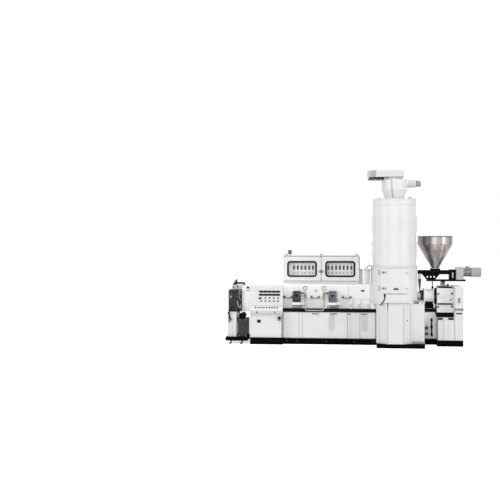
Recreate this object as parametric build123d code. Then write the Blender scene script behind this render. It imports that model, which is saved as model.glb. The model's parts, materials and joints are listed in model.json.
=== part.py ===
from build123d import *
import math
import os

# A single-screw plastics extruder with a drum feeder, a side feeder and a screen changer.
# Millimetres. +X runs from the melt outlet to the drive, +Y to the back, +Z up.
# The origin is on the floor, straight below the barrel's axis.

# Base frame and bench
plinth_height = 135
housing_height = 595
bed_thickness = 70
bed_lip = 10
bench_left = -1615
bench_past_hood = 115
bench_front = -450
bench_back = 650
rear_front = -200
panel_thickness = 20
panel_margin = 14
panel_gap = 6
panels_left = (345, 68)
panels_right = (56, 210, 333)
louvres_in_panel = {2: 417, 5: 298}
louvre_width = 140
louvre_height = 9
louvre_depth = 10
louvre_pitch = 26
louvre_count = 14
louvre_below_top = 50

# Barrel and its hood
barrel_above_bed = 280
barrel_radius = 100
barrel_flange_radius = 135
barrel_flange_length = 55
skirt_height = 215
skirt_inset = 35
hood_height = 325
hood_front = -330
hood_back = 200
hood_section = 490
hood_section_count = 4
hood_edge_radius = 22
hood_seam = 6
duct_width = 66
duct_recess = 6

# What the hood carries: the number of the section's left seam, and the distance from it
duct_stations = ((3, -185), (3, 55), (4, -255), (4, -55))
vent_stations = ((0, 309), (2, 136))
handle_stations = ((0, 105), (2, -260), (3, -40))
lock_stations = ((2, -235), (4, -160))

# Vent ports and vacuum line
vent_width = 176
vent_height = 246
vent_depth = 170
vent_below_top = 145
vent_hole_radius = 26
vent_hole_depth = 40
vent_hole_drop = 103
vent_tray_height = 66
vent_tray_width = 262
vent_tray_proud = 50
pipe_radius = 12
pipe_bend = 40
pipe_off_bed = 15
pipe_low_drop = 36
valve_radius = 22
valve_height = 124
valve_below_vent_top = 44
valve_from_vent = 108
gauge_radius = 45
gauge_depth = 36
gauge_seat = 4
gauge_stem_radius = 8
gauge_stem_length = 70

# Hood handles and locks
handle_bar = 16
handle_reach = 42
handle_sag = 36
handle_bracket = ((0, 0), (0, -32), (-24, -50), (-44, -20))
handle_drop = 260
handle_width = 200
lock_radius = 18
lock_reach = 20
lock_drop = 135

# Vacuum pot behind the hood
pot_radius = 112
pot_height = 850
pot_lid_radius = 126
pot_lid_height = 24
pot_clearance = 14
pot_from_cabinet = 10
pot_knob_radius = 16
pot_knob_height = 46

# Control cabinet
cabinet_left_of_bench = 46
cabinet_width = 1760
cabinet_front = 230
cabinet_height = 1196
cabinet_wall = 15
door_zone_height = 606
door_thickness = 25
door_gap = 5
door_edge_gap = 3
door_below_top = 26
hinge_tab_height = 15
hinge_pin_radius = 6
hinge_pin_play = 0.2
hinge_pin_depth = 30
window_height = 322
window_corner = 48
window_drop = 130
window_from_hinge = 104
window_from_edge = 117
gasket_lip = 22
gasket_depth = 10
glass_thickness = 6
latch_width = 26
latch_height = 60
latch_depth = 22
latch_inset = 10
latch_drop = 320
inner_panel_setback = 100
inner_panel_thickness = 6
inner_panel_height = 490
controller_width = 44
controller_height = 96
controller_depth = 12
controller_pitch = 88
controller_insets = (128, 48)
controller_drop = 84
switch_size = 18
switch_reach = 24
switch_drop = 154
beacon_radius = 44
beacon_height = 92
beacon_crown = 16
beacon_neck = 52
beacon_neck_height = 34
beacon_offset = 150
beacon_setback = 80
eye_inset = 60
eye_width = 60
eye_height = 38
eye_thickness = 10
eye_hole_radius = 12

# Operator's console
console_width = 731
console_front = -600
console_plinth_height = 160
console_plinth_inset = 10
console_height = 1311
console_lip = 25
console_lip_bottom = 685
console_lip_top = 760
desk_top = 868
desk_depth = 120
console_door_margin = 16
console_door_lift = 25
console_door_height = 455
console_door_thickness = 12
display_width = 90
display_height = 42
display_depth = 10
display_pitch = 96
display_columns = 5
display_heights = (1181, 1110)
display_offset = 240
panel_switch_size = 26
panel_switch_reach = 20
panel_switch_heights = (1038, 968)
desk_switch_count = 9
desk_switch_pitch = 62
desk_switch_offset = 121
desk_switch_rise = 5
desk_switch_size = 24
desk_switch_reach = 22
regulator_size = 66
regulator_height = 40
regulator_from_edge = 66
regulator_below_lip = 56
regulator_bowl_radius = 26
regulator_bowl_height = 46

# Drum feeder tower
drum_from_hood = 20
drum_from_barrel = 28
drum_past_front = 22
tower_from_bench = 8
tower_plinth_height = 90
tower_base_height = 860
tower_chamfer_left = 232
tower_chamfer_depth = 215
tower_flat_width = 335
tower_chamfer_right = 180
tower_step_depth = 165
tower_face_inset = 5
tower_shelf_height = 50
tower_shelf_width = 119
tower_shelf_gap = 14
drum_radius = 497
drum_wall = 10
drum_floor_thickness = 12
drum_lower_height = 778
neck_radius = 467
neck_flange_radius = 512
neck_flange_height = 26
drum_upper_height = 1448
roof_thickness = 20
roof_overhang = 8
roof_eye_from_rim = 132
roof_eye_width = 52
roof_eye_height = 46
roof_eye_thickness = 12
roof_eye_hole_radius = 13
hatch_from_deg = -35
hatch_to_deg = 34
hatch_lap_deg = 3
hatch_bottom = 238
hatch_height = 502
hatch_lap = 18
hatch_gap = 6
hatch_thickness = 10
hatch_hinge_deg = 4.5
hatch_hinge_radius = 12
hatch_hinge_out = 24
hatch_hinge_length = 50
hatch_hinge_heights = (90, 438)
hatch_tab_thickness = 12
hatch_pin_radius = 6
hatch_strap_deg = 16
hatch_strap_proud = 8
hatch_latch_deg = 2
hatch_latch_drop = 82
hatch_latch_width = 86
hatch_latch_depth = 24
hatch_latch_sink = 3
hatch_latch_height = 30
side_cover_width = 200
side_cover_proud = 20
side_cover_depth = 80
side_cover_spans = ((200, 530), (745, 1085))
guard_switch_deg = -26.5
guard_switch_width = 30
guard_switch_depth = 26
guard_switch_height = 66
guard_switch_gap = 10
guard_cable_radius = 10

# Cyclone and exhaust duct on the drum
cyclone_foot_radius = 198
cyclone_radius = 272
cyclone_cone_height = 195
cyclone_body_height = 232
cyclone_neck_radius = 180
cyclone_neck_height = 59
cyclone_seam_width = 36
cyclone_seam_proud = 5
duct_height = 143
duct_half_width = 200
duct_left_reach = 590
duct_right_reach = 198
duct_bore_radius = 150
duct_bore_depth = 120
outlet_flange_radius = 190
outlet_flange_thickness = 22
outlet_collar_height = 30
outlet_collar_wall = 10
outlet_bolt_circle = 345
outlet_bolt_radius = 7
outlet_bolt_count = 6
spigot_root_radius = 86
spigot_root_sink = 60
spigot_end_radius = 74
spigot_below_top = 4
spigot_cone_reach = 190
spigot_pipe_radius = 60
spigot_pipe_length = 108
spigot_bore_radius = 50

# Feed section, gearbox and drive
drive_from_tower = 308
throat_half_length = 100
throat_half_height = 90
throat_reach = 70
feed_radius = 165
feed_length = 225
feed_flange_half = 175
feed_flange_length = 20
feed_from_gearbox = 56
lantern_radius = 150
lantern_flange_radius = 185
lantern_flange_length = 22
saddle_half_width = 115
gearbox_inset = 16
gearbox_front = -300
gearbox_back = 350
gearbox_corner = 42
gearbox_above_axis = 200
gearbox_split_drop = 165
gearbox_split_height = 20
gearbox_split_proud = 14
gearbox_cap_height = 20
gearbox_cap_inset = 40
pedestal_height = 104
pedestal_front = -400
pedestal_back = 400
drive_front = -580
drive_base_height = 497
drive_base_width = 365
column_width = 191
column_height = 1187
column_back = 300
column_edge_radius = 30
drive_cover_margin = 15
drive_cover_height = 455
drive_cover_gap = 42
drive_cover_thickness = 12
drive_panel_margin = 7
drive_panel_drop = 45
drive_panels = (115, 228)
grip_length = 110
grip_below_middle = 50
grip_reach = 34
grip_bar = 16

# Side feeder
feeder_above_gearbox = 118
plate_left_of_hopper = 186
plate_past_reducer = 52
plate_half_width = 120
plate_thickness = 38
feeder_axis_above_plate = 163
feeder_tube_radius = 49
feeder_tube_wall = 7
feeder_tube_end = 10
tube_past_spout = 42
tube_past_hopper = 306
feeder_mouth_radius = 38
hopper_from_gearbox = 19
hopper_neck_radius = 84
hopper_foot_half = 92
hopper_foot_height = 14
hopper_radius = 385
hopper_wall = 4
hopper_cone_height = 530
hopper_rim_height = 183
inlet_half_width = 106
inlet_half_depth = 75
inlet_top_above_axis = 84
saddle_from_hopper = 95
saddle_top_width = 404
saddle_bottom_width = 202
saddle_seat = 12
saddle_hole_radius = 20
saddle_hole_pitch = 76
saddle_thickness = 76
screw_core_radius = 13
screw_flight_radius = 40
screw_pitch = 95
screw_flight_thickness = 7
screw_end_gap = 4
screw_past_mouth = 30
coupling_length = 150
coupling_half_depth = 62
coupling_above_axis = 62
reducer_length = 158
reducer_half_depth = 118
reducer_above_axis = 118
reducer_corner = 30
motor_flange_length = 24
motor_flange_radius = 96
motor_body_length = 154
motor_body_radius = 84
motor_fin_height = 9
motor_fin_width = 6
motor_fin_count = 12
motor_box_width = 92
motor_box_height = 44
motor_cowl_length = 219
motor_cowl_radius = 108
spout_from_flange = 26
spout_sleeve_radius = 32
spout_sleeve_length = 108
spout_cap_radius = 38
spout_cap_height = 30
spout_end_radius = 13
spout_cone_height = 223
leg_width = 135
leg_top_width = 92
leg_half_depth = 40
leg_eye_radius = 20
leg_left_of_middle = 22
rod_radius = 11
rod_from_feed_right = 24

# Screen changer at the melt outlet, and its stand
die_hood_overhang = 233
die_hood_height = 493
die_hood_half_depth = 195
die_hood_skirt = 88
changer_width = 305
changer_above_axis = 131
changer_height = 500
changer_front = -260
changer_back = 200
changer_chamfer = 14
changer_cover_inset = 26
changer_cover_proud = 16
slide_half_width = 92
slide_half_height = 46
slide_proud = 52
slide_clearance = 10
outlet_bore_radius = 40
outlet_bore_length = 150
outlet_bolts_circle = 170
outlet_bolts_radius = 9
outlet_bolts_count = 6
outlet_bolts_depth = 40
terminal_box_width = 236
terminal_box_height = 105
terminal_half_depth = 90
conduit_radius = 22
conduit_inset = 26
conduit_rise = 40
conduit_past_box = 36
conduit_bend = 34
lug_inset = 6
lug_width = 90
lug_height = 132
lug_thickness = 12
lug_front = 60
stand_left_out = 25
stand_width = 497
stand_front = -560
stand_back = 300
stand_plate_height = 84
stand_foot_height = 73
stand_foot_radius = 34
stand_foot_thickness = 16
stand_foot_insets = (100, 145)
stand_foot_depth = 60
stand_leg_width = 34
stand_leg_lean = 34
pillar_inset = 6
pillar_width = 207
pillar_front = -450
pillar_back = 150
tank_width = 220
tank_height = 400
tank_gap = 6
pump_radius = 68
pump_foot = 48
pump_foot_inset = 60
pump_front_inset = 40
pump_back_inset = 200
hose_radius = 13
hose_bend = 18
hose_inset = 52
hose_reach = 40
hose_rise = 60
hose_fall = 220

# Cooling-water valves on the front below the feed section
riser_from_drive = 98
riser_radius = 14
riser_bottom = 60
riser_top = 460
riser_gap = 12
riser_valve_size = 44
riser_valve_height = 52
riser_valve_heights = (100, 260, 420)
valve_box_from_riser = 150
valve_box_width = 70
valve_box_depth = 60
valve_box_height = 64
valve_box_heights = (110, 240)

# Hoses and thin pipes are six-sided, with each bend made of three chords
hose_sides = 6
bend_shares = (0, 0.33, 0.67, 1)

# Levels and stations worked out from the sizes above
housing_top = plinth_height + housing_height
bed_top = housing_top + bed_thickness
barrel_z = bed_top + barrel_above_bed
skirt_top = bed_top + skirt_height
hood_top = skirt_top + hood_height
hood_right = bench_left + hood_section * hood_section_count
bench_right = hood_right + bench_past_hood
vent_x = [bench_left + seam * hood_section + offset for seam, offset in vent_stations]
handle_x = [bench_left + seam * hood_section + offset for seam, offset in handle_stations]
handle_z = hood_top - handle_drop
vent_top = hood_top - vent_below_top
console_left = bench_left - console_width
tower_left = bench_right + tower_from_bench
drum_x = hood_right + drum_from_hood + drum_radius
drum_y = -(barrel_radius + drum_from_barrel + drum_radius)
tower_right = drum_x + drum_radius + tower_shelf_gap + tower_shelf_width
tower_front = drum_y - drum_radius + drum_past_front
tower_top = tower_plinth_height + tower_base_height
drum_top = tower_top + drum_floor_thickness + drum_lower_height
neck_top = drum_top + neck_flange_height + drum_upper_height
roof_top = neck_top + roof_thickness
cyclone_top = roof_top + cyclone_cone_height + cyclone_body_height
duct_bottom = cyclone_top + cyclone_neck_height
drive_left = tower_right + drive_from_tower
drive_base_right = drive_left + drive_base_width
column_right = drive_base_right + column_width
drive_base_top = plinth_height + drive_base_height
gearbox_bottom = drive_base_top + pedestal_height
gearbox_top = barrel_z + gearbox_above_axis
gearbox_left = drive_left + gearbox_inset
feed_right = gearbox_left - feed_from_gearbox
feed_left = feed_right - feed_length
barrel_right = feed_left - barrel_flange_length
cap_top = gearbox_top + gearbox_cap_height
plate_bottom = cap_top + feeder_above_gearbox
plate_top = plate_bottom + plate_thickness
feeder_z = plate_top + feeder_axis_above_plate
hopper_x = gearbox_left - hopper_from_gearbox
spout_x = barrel_right - spout_from_flange
feeder_tube_left = spout_x - tube_past_spout
feeder_tube_right = hopper_x + tube_past_hopper
coupling_right = feeder_tube_right + coupling_length
reducer_right = coupling_right + reducer_length
changer_right = console_left - die_hood_overhang
changer_left = changer_right - changer_width
changer_top = barrel_z + changer_above_axis
changer_bottom = changer_top - changer_height
stand_left = changer_left - stand_left_out
stand_plate_top = stand_foot_height + stand_plate_height


def block(x0, x1, y0, y1, z0, z1):
    """A box from its lowest to its highest corner."""
    middle = Pos((x0 + x1) / 2, (y0 + y1) / 2, (z0 + z1) / 2)
    return middle * Box(x1 - x0, y1 - y0, z1 - z0)


def rod_along_x(radius, x0, x1, y, z):
    return Pos((x0 + x1) / 2, y, z) * Rot(0, 90, 0) * Cylinder(radius, x1 - x0)


def rod_along_y(radius, y0, y1, x, z):
    return Pos(x, (y0 + y1) / 2, z) * Rot(90, 0, 0) * Cylinder(radius, y1 - y0)


def rod_along_z(radius, z0, z1, x, y):
    return Pos(x, y, (z0 + z1) / 2) * Cylinder(radius, z1 - z0)


def hexagon_along_z(radius, z0, z1, x, y):
    """A hexagonal bar, as valve bodies and levelling studs have."""
    return Pos(x, y, z0) * extrude(RegularPolygon(radius, 6), amount=z1 - z0)


def turned(profile, x, y):
    """Turns an outline of (radius, height) points about the upright axis through x, y."""
    outline = make_face(Polyline(*[(radius, 0, height) for radius, height in profile], close=True))
    return Pos(x, y, 0) * revolve(outline, Axis.Z)


def front_plate(width, height, corner, x, z, y0, y1):
    """A plate with rounded corners that faces the front, between y0 and y1."""
    outline = Plane.XZ * RectangleRounded(width, height, corner)
    return Pos(x, y1, z) * extrude(outline, amount=y1 - y0)


def front_outline(points, y0, y1):
    """Extrudes an outline of (x, z) points between y0 and y1."""
    outline = make_face(Polyline(*[(x, y1, z) for x, z in points], close=True))
    return extrude(outline, amount=y1 - y0, dir=(0, -1, 0))


def hose(corners, radius, bend=0):
    """A hose or thin pipe along a route, with a bend of the given reach at each inner corner."""
    corners = [Vector(*corner) for corner in corners]
    points = [corners[0]]
    for before, corner, after in zip(corners, corners[1:], corners[2:]):
        start = corner + (before - corner).normalized() * bend
        end = corner + (after - corner).normalized() * bend
        points += [start * (1 - s) ** 2 + corner * 2 * s * (1 - s) + end * s ** 2 for s in bend_shares]
    points.append(corners[-1])
    route = Polyline(*points)
    section = Plane(origin=route @ 0, z_dir=route % 0) * RegularPolygon(radius, hose_sides)
    return sweep(section, path=route, transition=Transition.RIGHT)


def lifting_eye(x, y, z, width, height, thickness, hole_radius):
    """An upright plate with an eye, its foot at z and its front at y."""
    hole = Plane.XZ * RegularPolygon(hole_radius, hose_sides)
    plate = Plane.XZ * Rectangle(width, height)
    return Pos(x, y + thickness, z + height / 2) * extrude(plate - hole, amount=thickness)


def base_parts():
    """Welded base frame, closed bench housing, its front panels and the machine bed."""
    bench = (bench_left, bench_right, bench_front, bench_back)
    rear = (console_left, drive_left, rear_front, bench_back)
    drive = (drive_left, column_right, drive_front, bench_back)
    console_plinth_front = console_front + console_plinth_inset
    frame = block(*bench, 0, plinth_height) + block(*rear, 0, plinth_height)
    frame += block(*drive, 0, plinth_height)
    frame += block(console_left, bench_left, console_plinth_front, rear_front, 0, console_plinth_height)
    frame += block(tower_left, tower_right, tower_front, rear_front, 0, tower_plinth_height)
    panelled_front = bench_front + panel_thickness
    housing = block(bench_left, bench_right, panelled_front, bench_back, plinth_height, housing_top)
    housing += block(*rear, plinth_height, housing_top)
    bed = block(bench_left, bench_right, bench_front - bed_lip, bench_back, housing_top, bed_top)
    bed += block(*rear, housing_top, bed_top)
    saddle = block(feed_left, feed_right, -saddle_half_width, saddle_half_width, bed_top, barrel_z)
    bed += saddle - feed_section()
    return {
        "base_frame": frame,
        "bench_housing": housing,
        "base_panels": base_panels(),
        "machine_bed": bed,
    }


def base_panels():
    """Lift-off panels along the bench, two of them louvred, and those on the front of the drive base."""
    fixed = sum(panels_left) + sum(panels_right)
    gaps = 2 * panel_margin + panel_gap * (len(panels_left) + len(panels_right))
    long_panel = bench_right - bench_left - fixed - gaps
    panels = []
    left = bench_left + panel_margin
    low, high = plinth_height + panel_margin, housing_top - panel_margin
    for number, width in enumerate((*panels_left, long_panel, *panels_right)):
        panel = block(left, left + width, bench_front, bench_front + panel_thickness, low, high)
        if number in louvres_in_panel:
            panel -= louvres(left + width - louvres_in_panel[number], high - louvre_below_top)
        panels.append(panel)
        left += width + panel_gap
    left = drive_left + drive_panel_margin
    low, high = plinth_height + drive_cover_margin, drive_base_top - drive_panel_drop
    for width in drive_panels:
        panels.append(block(left, left + width, drive_front - drive_cover_thickness, drive_front, low, high))
        left += width + panel_gap
    return Compound(panels)


def louvres(left, top):
    """The slots of one louvre field, as a pattern down a panel's front."""
    slots = Part()
    back = bench_front + louvre_depth
    for row in range(louvre_count):
        z = top - row * louvre_pitch
        slots += block(left, left + louvre_width, bench_front, back, z - louvre_height, z)
    return slots


def hood_parts():
    """Heat-insulated barrel hood with its seams, trays and blower ducts, and the hood at the die end."""
    hood = block(bench_left, hood_right, hood_front, hood_back, skirt_top, hood_top)
    hood = fillet(hood.edges().filter_by(Axis.X).group_by(Axis.Z)[-1], hood_edge_radius)
    for number in range(1, hood_section_count):
        left = bench_left + number * hood_section - hood_seam / 2
        hood -= block(left, left + hood_seam, hood_front, hood_front + hood_seam, skirt_top, hood_top)
    skirt_front = hood_front + skirt_inset
    hood += block(bench_left, hood_right, skirt_front, hood_back - skirt_inset, bed_top, skirt_top)
    for seam, offset in duct_stations:
        left = bench_left + seam * hood_section + offset - duct_width / 2
        hood += block(left, left + duct_width, hood_front + duct_recess, skirt_front, bed_top, skirt_top)
    top = vent_top - vent_height
    front = hood_front - vent_tray_proud
    for x in vent_x:
        left = x - vent_width / 2
        hood += block(left, left + vent_tray_width, front, skirt_front, top - vent_tray_height, top)
    half = die_hood_half_depth
    die_hood = block(changer_right, bench_left, -half, half, bed_top, bed_top + die_hood_height)
    die_hood = fillet(die_hood.edges().filter_by(Axis.X).group_by(Axis.Z)[-1], hood_edge_radius)
    die_hood += block(changer_right, console_left, -half, half, bed_top - die_hood_skirt, bed_top)
    return {"barrel_hood": hood, "die_hood": die_hood}


def vacuum_parts():
    """Two vent ports with sight holes, joined by a pipe with a valve and a gauge at each end."""
    vent_front = hood_front - vent_depth
    ports = []
    z = vent_top - vent_hole_drop
    for x in vent_x:
        left, right = x - vent_width / 2, x + vent_width / 2
        port = block(left, right, vent_front, hood_front, vent_top - vent_height, vent_top)
        port -= rod_along_y(vent_hole_radius, vent_front, vent_front + vent_hole_depth, x, z)
        ports.append(port)
    return {"vent_ports": Compound(ports), "vacuum_line": vacuum_line(), "vacuum_pot": vacuum_pot()}


def vacuum_line():
    """The pipe between the vent ports, with a hexagonal valve and a dial gauge beside each port."""
    y = bench_front - bed_lip - pipe_off_bed
    port_sides = (vent_x[0] + vent_width / 2, vent_x[1] - vent_width / 2)
    valve_x = (port_sides[0] + valve_from_vent, port_sides[1] - valve_from_vent)
    valve_top = vent_top - valve_below_vent_top
    valve_bottom = valve_top - valve_height
    low = bed_top - pipe_low_drop
    route = [(valve_x[0], valve_bottom), (valve_x[0], low), (valve_x[1], low), (valve_x[1], valve_bottom)]
    line = hose([(x, y, z) for x, z in route], pipe_radius, pipe_bend)
    for x, port in zip(valve_x, port_sides):
        middle = (valve_bottom + valve_top) / 2
        line += hose([(x, y, middle), (port, y, middle)], pipe_radius)
        line += hexagon_along_z(valve_radius, valve_bottom, valve_top, x, y)
        dial_z = valve_top + gauge_stem_length + gauge_radius
        line += rod_along_y(gauge_radius, y - gauge_depth / 2, y + gauge_depth / 2, x, dial_z)
        line += hexagon_along_z(gauge_stem_radius, valve_top, dial_z - gauge_radius + gauge_seat, x, y)
    return line


def vacuum_pot():
    """Condensate pot of the vacuum line, standing on the bed behind the hood."""
    x = cabinet_right + pot_from_cabinet + pot_lid_radius
    y = hood_back + pot_clearance + pot_lid_radius
    top = bed_top + pot_height
    lid_top = top + pot_lid_height
    profile = [
        (0, bed_top),
        (pot_radius, bed_top),
        (pot_radius, top),
        (pot_lid_radius, top),
        (pot_lid_radius, lid_top),
        (0, lid_top),
    ]
    return turned(profile, x, y) + hexagon_along_z(pot_knob_radius, lid_top, lid_top + pot_knob_height, x, y)


def bow_handle(x):
    """A lift handle on the hood's front: a sagging bar between two posts."""
    half = handle_width / 2
    top = ThreePointArc((-half, 0), (0, -handle_sag), (half, 0))
    low = ThreePointArc((half, -handle_bar), (0, -handle_sag - handle_bar), (-half, -handle_bar))
    outline = make_face([top, Line(top @ 1, low @ 0), low, Line(low @ 1, top @ 0)])
    bar_back = hood_front - handle_reach + handle_bar
    handle = Pos(x, bar_back, handle_z) * extrude(Plane.XZ * outline, amount=handle_bar)
    for side in (-1, 1):
        bracket = [(x + side * (half + across), handle_z + up) for across, up in handle_bracket]
        handle += front_outline(bracket, bar_back - handle_bar, hood_front)
    return handle


def hood_handles():
    """Lift handles and quarter-turn locks on the hood's front."""
    parts = [bow_handle(x) for x in handle_x]
    for seam, offset in lock_stations:
        x = bench_left + seam * hood_section + offset
        parts.append(rod_along_y(lock_radius, hood_front - lock_reach, hood_front, x, hood_top - lock_drop))
    return {"hood_handles": Compound(parts)}


# Control cabinet, measured from its own corners
cabinet_left = bench_left - cabinet_left_of_bench
cabinet_right = cabinet_left + cabinet_width
cabinet_top = bed_top + cabinet_height
cabinet_middle = (cabinet_left + cabinet_right) / 2
door_zone_bottom = cabinet_top - door_zone_height
door_bottom = door_zone_bottom + hinge_tab_height
door_top = cabinet_top - door_below_top
door_back = cabinet_front - door_gap
door_front = door_back - door_thickness
door_axis_y = (door_front + door_back) / 2
hinge_round = door_thickness / 2
hinge_from_corner = hinge_round + 1
hinge_x = (cabinet_left + hinge_from_corner, cabinet_right - hinge_from_corner)
window_width = cabinet_middle - door_edge_gap - hinge_x[0] - window_from_hinge - window_from_edge
window_z = door_top - window_drop - window_height / 2


def cabinet_shell():
    """Cabinet, open at the front behind the doors, with pivot tabs for them and lifting eyes."""
    shell = block(cabinet_left, cabinet_right, cabinet_front, bench_back, bed_top, cabinet_top)
    shell -= block(
        cabinet_left + cabinet_wall,
        cabinet_right - cabinet_wall,
        cabinet_front,
        bench_back - cabinet_wall,
        door_bottom,
        cabinet_top - cabinet_wall,
    )
    low_tab_top = door_bottom - door_gap
    high_tab_bottom = door_top + door_gap
    pivots = (
        (low_tab_top - hinge_tab_height, low_tab_top, low_tab_top, door_bottom + hinge_pin_depth),
        (high_tab_bottom, high_tab_bottom + hinge_tab_height, door_top - hinge_pin_depth, high_tab_bottom),
    )
    for x in hinge_x:
        for tab_low, tab_high, pin_low, pin_high in pivots:
            left, right = x - hinge_from_corner, x + hinge_from_corner
            shell += block(left, right, door_front, cabinet_front, tab_low, tab_high)
            shell += rod_along_z(hinge_pin_radius, pin_low, pin_high, x, door_axis_y)
    middle_y = (cabinet_front + bench_back) / 2
    for x in (cabinet_left + eye_inset, cabinet_middle, cabinet_right - eye_inset):
        shell += lifting_eye(x, middle_y, cabinet_top, eye_width, eye_height, eye_thickness, eye_hole_radius)
    return shell


def window_middle(side):
    """The middle of the window in the left (-1) or right (1) door."""
    hinge = hinge_x[0] if side < 0 else hinge_x[1]
    return hinge - side * (window_from_hinge + window_width / 2)


def window_plate(side, margin, y0, y1):
    """A plate of the window's form, larger all round by the margin."""
    width, height = window_width + 2 * margin, window_height + 2 * margin
    return front_plate(width, height, window_corner + margin, window_middle(side), window_z, y0, y1)


def cabinet_door(side):
    """One cabinet door with its gasket and latch, and its glass; side -1 is the left door."""
    hinge = hinge_x[0] if side < 0 else hinge_x[1]
    free = cabinet_middle + side * door_edge_gap
    door = block(min(hinge, free), max(hinge, free), door_front, door_back, door_bottom, door_top)
    door += rod_along_z(hinge_round, door_bottom, door_top, hinge, door_axis_y)
    bore_depth = hinge_pin_depth + door_gap
    for z0, z1 in ((door_bottom, door_bottom + bore_depth), (door_top - bore_depth, door_top)):
        door -= rod_along_z(hinge_pin_radius + hinge_pin_play, z0, z1, hinge, door_axis_y)
    gasket_front = door_front - gasket_depth
    door += window_plate(side, gasket_lip, gasket_front, door_front)
    door -= window_plate(side, 0, gasket_front, door_back)
    inner = free + side * latch_inset
    outer = inner + side * latch_width
    z = door_top - latch_drop
    latch_front = door_front - latch_depth
    latch = block(min(inner, outer), max(inner, outer), latch_front, door_front, z - latch_height, z)
    glass = window_plate(side, 0, door_front, door_front + glass_thickness)
    return door + latch, glass


def cabinet_parts():
    """Cabinet shell, both doors, the alarm beacon, and the inner panel with the zone controllers."""
    parts = {"cabinet_shell": cabinet_shell()}
    for side, word in ((-1, "left"), (1, "right")):
        parts["cabinet_door_" + word], parts["window_glass_" + word] = cabinet_door(side)
    parts["controller_panel"] = controller_panel()
    x, y = cabinet_left + beacon_offset, cabinet_front + beacon_setback
    half = beacon_neck / 2
    neck_top_z = cabinet_top + beacon_neck_height
    lens_top = neck_top_z + beacon_height
    lens = [
        (0, neck_top_z),
        (beacon_radius, neck_top_z),
        (beacon_radius, lens_top - beacon_crown),
        (beacon_radius - beacon_crown, lens_top),
        (0, lens_top),
    ]
    neck = block(x - half, x + half, y - half, y + half, cabinet_top, neck_top_z)
    parts["alarm_beacon"] = neck + turned(lens, x, y)
    return parts


def controller_panel():
    """Inner panel with a row of upright temperature controllers behind each window, a switch under each."""
    y = cabinet_front + inner_panel_setback
    left, right = cabinet_left + cabinet_wall, cabinet_right - cabinet_wall
    low, high = window_z - inner_panel_height / 2, window_z + inner_panel_height / 2
    panel = block(left, right, y, y + inner_panel_thickness, low, high)
    top = window_z + window_height / 2 - controller_drop
    bottom = top - controller_height
    for side, inset in zip((-1, 1), controller_insets):
        count = int((window_width - inset) / controller_pitch) + 1
        for number in range(count):
            x = window_middle(side) - window_width / 2 + inset + number * controller_pitch
            half = controller_width / 2
            panel += block(x - half, x + half, y - controller_depth, y, bottom, top)
            half = switch_size / 2
            z = top - switch_drop
            panel += block(x - half, x + half, y - switch_reach, y, z - half, z + half)
    return panel


def console_parts():
    """Operator's console: upright instrument panel, sloping switch desk and a lower door."""
    panel_y = console_front + desk_depth
    outline = Polyline(
        (console_left, rear_front, console_plinth_height),
        (console_left, console_front, console_plinth_height),
        (console_left, console_front, console_lip_bottom),
        (console_left, console_front - console_lip, console_lip_bottom),
        (console_left, console_front - console_lip, console_lip_top),
        (console_left, panel_y, desk_top),
        (console_left, panel_y, console_height),
        (console_left, rear_front, console_height),
        close=True,
    )
    body = extrude(make_face(outline), amount=console_width, dir=(1, 0, 0))
    left, right = console_left + console_door_margin, bench_left - console_door_margin
    low = console_plinth_height + console_door_lift
    door_face = console_front - console_door_thickness
    door = block(left, right, door_face, console_front, low, low + console_door_height)
    return {
        "console_body": body,
        "console_door": door + air_regulator(door_face),
        "console_instruments": console_instruments(panel_y),
    }


def console_instruments(panel_y):
    """Displays and switches on the panel, and push buttons square to the sloping desk."""
    parts = []
    display = Box(display_width, display_depth, display_height)
    panel_switch = Box(panel_switch_size, panel_switch_reach, panel_switch_size)
    for column in range(display_columns):
        x = console_left + display_offset + column * display_pitch
        parts += [Pos(x, panel_y - display_depth / 2, z) * display for z in display_heights]
        parts += [Pos(x, panel_y - panel_switch_reach / 2, z) * panel_switch for z in panel_switch_heights]
    lip_y = console_front - console_lip
    slope = math.degrees(math.atan2(desk_top - console_lip_top, panel_y - lip_y))
    middle_z = (desk_top + console_lip_top) / 2 + desk_switch_rise
    middle_y = lip_y + (middle_z - console_lip_top) / math.tan(math.radians(slope))
    button = Pos(0, 0, desk_switch_reach / 2) * Box(desk_switch_size, desk_switch_size, desk_switch_reach)
    for number in range(desk_switch_count):
        x = console_left + desk_switch_offset + number * desk_switch_pitch
        parts.append(Pos(x, middle_y, middle_z) * Rot(slope, 0, 0) * button)
    return Compound(parts)


def air_regulator(door_face):
    """Compressed-air regulator with its bowl, on the console's lower door."""
    x = bench_left - regulator_from_edge
    top = console_lip_bottom - regulator_below_lip
    bottom = top - regulator_height
    half = regulator_size / 2
    body = block(x - half, x + half, door_face - regulator_size, door_face, bottom, top)
    bowl_bottom = bottom - regulator_bowl_height
    return body + rod_along_z(regulator_bowl_radius, bowl_bottom, bottom, x, door_face - half)


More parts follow.
